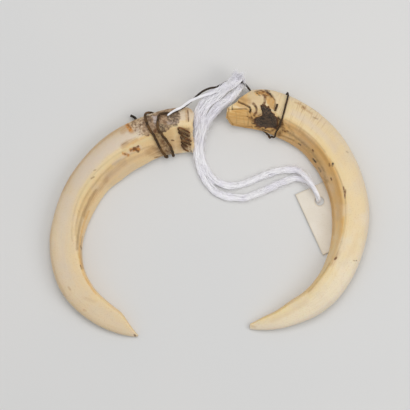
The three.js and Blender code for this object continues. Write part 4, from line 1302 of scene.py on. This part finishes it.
def build_pitch():
    """A rough lump that lies on the right tusk, from rings of its outline shrunk to its middle."""
    middle = np.array(PITCH_MIDDLE)
    rim = smooth_path(level(np.array(PITCH_OUTLINE + PITCH_OUTLINE[:1])), PITCH_STEP)[:-1, :2]
    seed = SEEDS["pitch"]
    bumps = 1 + 0.08 * noise(level(rim), 1.8, seed) + 0.07 * noise(level(rim), 0.7, seed + 1)
    rows = []
    rim_mark = []
    shares = [(k + 1) / PITCH_RINGS for k in range(PITCH_RINGS)]
    for share, upper in [(share, False) for share in shares] + [(share, True) for share in shares[::-1]]:
        flat = middle + share * (rim - middle) * bumps[:, None]
        height = np.array([height_above(RIGHT_TUSK, x, y) for x, y in flat]) + PITCH_GAP
        if upper:
            dome = PITCH_EDGE + (PITCH_THICKNESS - PITCH_EDGE) * math.sqrt(max(0, 1 - share**2.5))
            crust = PITCH_CRUST * rough(level(flat), 2.6, seed + 2, 4)
            crust += PITCH_GRIT * noise(level(flat), 0.7, seed + 7)
            height = height + np.maximum(dome + crust * (1.15 - share**6), 0.12)
        rows.append(np.column_stack([flat, height]))
        rim_mark.append(np.full(len(rim), smoothstep(share, 0.72, 1.0)))
    vertices = np.vstack(rows + [rows[0].mean(axis=0)[None], rows[-1].mean(axis=0)[None]])
    faces = capped_faces(len(rows), len(rim))
    marks = {"rim": np.concatenate([*rim_mark, [0, 0]])}
    make_piece("pitch_crust", vertices, faces, pitch_finish(), "pitch", "pitch_lump", marks)


# ------------------------------------------------------------------ string


def surface_tree(*pieces):
    """A tree of the pieces' surfaces in millimetres, for keeping threads clear of them."""
    vertices = []
    faces = []
    for piece in pieces:
        start = len(vertices)
        vertices.extend(v.co / MM for v in piece.data.vertices)
        faces.extend([i + start for i in face.vertices] for face in piece.data.polygons)
    return BVHTree.FromPolygons(vertices, faces)


def kept_clear(path, tree, radius):
    """The path pushed out of the pieces in the tree and off the floor."""
    cleared = path.copy()
    for k, point in enumerate(path):
        place, normal, _, distance = tree.find_nearest(Vector(point), CLEAR_SEARCH)
        if place is None:
            continue
        inside = (Vector(point) - place).dot(normal) < -0.6 * distance
        if inside or distance < radius:
            cleared[k] = place + normal * radius
    cleared[:, 2] = np.maximum(cleared[:, 2], radius + THREAD_OFF_FLOOR)
    return cleared


def sideways(path):
    """For each point, the level direction across the path and the one that is up from it. At the
    start, where the string folds over the wire, it lies along the wire."""
    ahead = normalised(np.gradient(path, axis=0))
    across = np.cross((0, 0, 1), ahead)
    settled = smoothstep(np.arange(len(path)) * THREAD_STEP, 1.5, 7.0)[:, None]
    across = normalised(normalised(across) * settled + np.array([1.0, -0.15, 0.0]) * (1 - settled))
    return across, normalised(np.cross(ahead, across))


def thread_bundle(name, node, path, spread, height, threads, seed, tree, finish):
    """A soft bundle of threads along a path: each wanders across the bundle as it goes."""
    random = np.random.default_rng(seed)
    across, up = sideways(path)
    share = np.linspace(0, 1, len(path))
    outside, inside = (np.interp(share, *np.array(spread)[:, [0, side]].T) for side in (1, 2))
    length = path_length(path)
    tubes = []

    def wave(shortest, longest):
        return np.sin(2 * math.pi * (length * share / random.uniform(shortest, longest) + random.uniform()))

    for k in range(threads):
        ring = math.sqrt((k + 0.5) / threads)
        turn = GOLDEN_ANGLE * k + 0.55 * wave(60, 140) + 0.25 * wave(20, 45)
        reach = ring * (0.9 + 0.1 * wave(12, 30))
        sideward = reach * np.cos(turn)
        sideward = np.where(sideward > 0, sideward * inside, sideward * outside) + 0.12 * wave(5, 11)
        rise = reach * np.sin(turn) * height + 0.06 * wave(5, 11)
        line = path + across * sideward[:, None] + up * rise[:, None]
        line = kept_clear(line, tree, THREAD_RADIUS * 1.05)
        thick = THREAD_RADIUS * random.uniform(0.75, 1.2) * (1 + 0.2 * wave(4, 12))
        thick *= np.interp(share, [0.25, 0.4], [THREAD_FLUFF, 1])
        thick[[0, -1]] *= 0.3
        tubes.append(closed_tube(line, thick, THREAD_SIDES))
    return make_piece(name, *joined(tubes), finish, "cotton", node)


def build_string(tree):
    cotton = cotton_finish()
    outer = smooth_path([STRING_FOLD, *OUTER_LEG, OUTER_END], THREAD_STEP)
    inner = smooth_path([STRING_FOLD, *INNER_LEG, INNER_END], THREAD_STEP)
    yarn = smooth_path(LOOSE_YARN, YARN_STEP)
    leg = (LEG_HEIGHT, LEG_THREADS)
    loose = (YARN_HEIGHT, YARN_THREADS)
    bundles = (
        ("string_outer", "string_leg_outer", outer, OUTER_SPREAD, *leg, SEEDS["outer"]),
        ("string_inner", "string_leg_inner", inner, INNER_SPREAD, *leg, SEEDS["inner"]),
        ("string_loose", "string_loose_yarn", yarn, YARN_SPREAD, *loose, SEEDS["yarn"]),
    )
    pieces = [thread_bundle(*bundle, tree, cotton) for bundle in bundles]
    hairs = build_hairs([outer, inner], tree, cotton)


def build_hairs(paths, tree, finish):
    """Fine fibres that stand off the legs, thickest where the string hangs over the wire."""
    random = np.random.default_rng(SEEDS["fibres"])
    tubes = []
    for path in paths:
        across, up = sideways(path)
        draw = random.uniform(size=HAIRS_PER_LEG)
        fold, hanging, rest = (random.uniform(*span, HAIRS_PER_LEG) for span in HAIR_SPANS)
        share = np.where(draw < HAIR_LIMITS[0], fold, np.where(draw < HAIR_LIMITS[1], hanging, rest))
        for k in (share * (len(path) - 2)).astype(int):
            side = random.choice([-1, 1]) * random.uniform(0.3, 1.0)
            away = across[k] * side + up[k] * random.uniform(-0.2, 0.7)
            ahead = normalised(path[k + 1] - path[max(k - 1, 0)]) * random.choice([-1, 1])
            start = path[k] + away * random.uniform(0.8, 3.6 if k < 5 else 2.8)
            length = random.uniform(*HAIR_LENGTHS)
            t = np.linspace(0, 1, 7)[:, None]
            curl = random.normal(0, 0.5, 3)
            line = start + ahead * (length * t) + away * (0.3 * length * t**1.6) + curl * t**2
            line = kept_clear(line, tree, HAIR_CLEARANCE) + ahead * (0.02 * t)
            tubes.append(closed_tube(line, HAIR_RADIUS * (1 - 0.7 * t[:, 0]), 4))
    return make_piece("string_fibres", *joined(tubes), finish, "cotton")


# ------------------------------------------------------------------ tag


def build_tag():
    """A thin card with a punched hole, slightly curled, one long side under the right tusk."""
    slope = math.radians(TAG_SLOPE)
    long_way = normalised(np.array([*TAG_LONG_WAY, 0.0]))
    short_way = np.array([-long_way[1] * math.cos(slope), long_way[0] * math.cos(slope), -math.sin(slope)])
    normal = np.cross(long_way, short_way)
    corner = np.array([*TAG_CORNER, TAG_LOW_EDGE + TAG_WIDTH * math.sin(slope)])
    hole = np.array([TAG_HOLE_FROM_END, TAG_WIDTH / 2])
    columns = np.linspace(0, TAG_LENGTH, TAG_COLUMNS)
    u, v = np.meshgrid(columns, np.linspace(0, TAG_WIDTH, TAG_ROWS), indexing="ij")
    flat = np.column_stack([u.ravel(), v.ravel()])
    away = np.linalg.norm(flat - hole, axis=1)
    near = np.abs(away - TAG_HOLE_RADIUS) < TAG_SNAP
    flat[near] = hole + (flat[near] - hole) / away[near][:, None] * TAG_HOLE_RADIUS
    away = np.linalg.norm(flat - hole, axis=1)
    kept = away >= TAG_HOLE_RADIUS - 1e-6
    edge = np.minimum.reduce([flat[:, 0], TAG_LENGTH - flat[:, 0], flat[:, 1], TAG_WIDTH - flat[:, 1]])
    lift = TAG_CURL * smoothstep(TAG_CURL_WIDTH - flat[:, 1], 0, TAG_CURL_WIDTH)
    lift *= 0.4 + 0.6 * flat[:, 0] / TAG_LENGTH
    lift += TAG_WAVES * noise(level(flat), 9, SEEDS["tag"])
    sheet = corner + flat[:, :1] * long_way + flat[:, 1:] * short_way + lift[:, None] * normal

    index = np.arange(TAG_COLUMNS * TAG_ROWS).reshape(TAG_COLUMNS, TAG_ROWS)
    quads = np.stack([index[:-1, :-1], index[1:, :-1], index[1:, 1:], index[:-1, 1:]], axis=-1).reshape(-1, 4)
    quads = quads[kept[quads].all(axis=1)]
    used = np.unique(quads)
    renumber = np.full(len(flat), -1)
    renumber[used] = np.arange(len(used))
    lower = renumber[quads]
    count = len(used)
    sides = dict.fromkeys(
        pair for a, b, c, d in lower.tolist() for pair in ((a, b), (b, c), (c, d), (d, a))
    )
    rim = [pair for pair in sides if pair[::-1] not in sides]
    faces = [list(face[::-1]) for face in lower] + [[v + count for v in face] for face in lower]
    faces += [[a, b, b + count, a + count] for a, b in rim]
    sheet = sheet[used]
    near_edge = np.minimum(edge[used], away[used] - TAG_HOLE_RADIUS)
    marks = {"edge": np.tile(1 - smoothstep(near_edge, 0.1, 1.0), 2)}
    vertices = np.vstack([sheet, sheet + normal * TAG_THICKNESS])
    return make_piece("tag_card", vertices, faces, paper_finish(), "paper", "paper_tag", marks)


# ------------------------------------------------------------------ stage


def place_object(name, data, place):
    """Puts a camera or a lamp into the scene, at a place in millimetres."""
    made = bpy.data.objects.new(name, data)
    made.location = [v * MM for v in place]
    bpy.context.scene.collection.objects.link(made)
    return made


def build_stage():
    scene = bpy.context.scene
    data = bpy.data.cameras.new("camera")
    data.lens = LENS
    data.sensor_width = SENSOR
    data.clip_start = 0.1
    data.clip_end = 30.0
    height = MIDDLE_HEIGHT + VIEW_WIDTH * LENS / SENSOR
    scene.camera = place_object("camera", data, (*VIEW_MIDDLE, height))

    for name, (place, size, power, shade) in LIGHTS.items():
        light = bpy.data.lights.new(name, "AREA")
        light.shape = "RECTANGLE"
        light.size = size[0] * MM
        light.size_y = size[1] * MM
        light.energy = power
        light.color = shade
        lamp = place_object(name, light, place)
        lamp.rotation_mode = "QUATERNION"
        lamp.rotation_quaternion = (-lamp.location).to_track_quat("-Z", "Y")

    world = bpy.data.worlds.new("soft_light")
    world.use_nodes = True
    background = world.node_tree.nodes["Background"]
    background.inputs["Color"].default_value = WORLD_COLOUR
    background.inputs["Strength"].default_value = WORLD_STRENGTH
    scene.world = world
    scene.view_settings.view_transform = "Standard"

    corners = [[x * FLOOR_HALF, y * FLOOR_HALF, 0] for x, y in ((-1, -1), (1, -1), (1, 1), (-1, 1))]
    make_mesh("floor", corners, [[0, 1, 2, 3]], floor_finish())


# ------------------------------------------------------------------ the whole object


build_stage()
left_tooth = build_tusk(LEFT_TUSK)
right_tooth = build_tusk(RIGHT_TUSK)
lashing = build_wires()
tag_card = build_tag()
build_string(surface_tree(left_tooth, right_tooth, lashing, tag_card))
build_coil()
build_pitch()
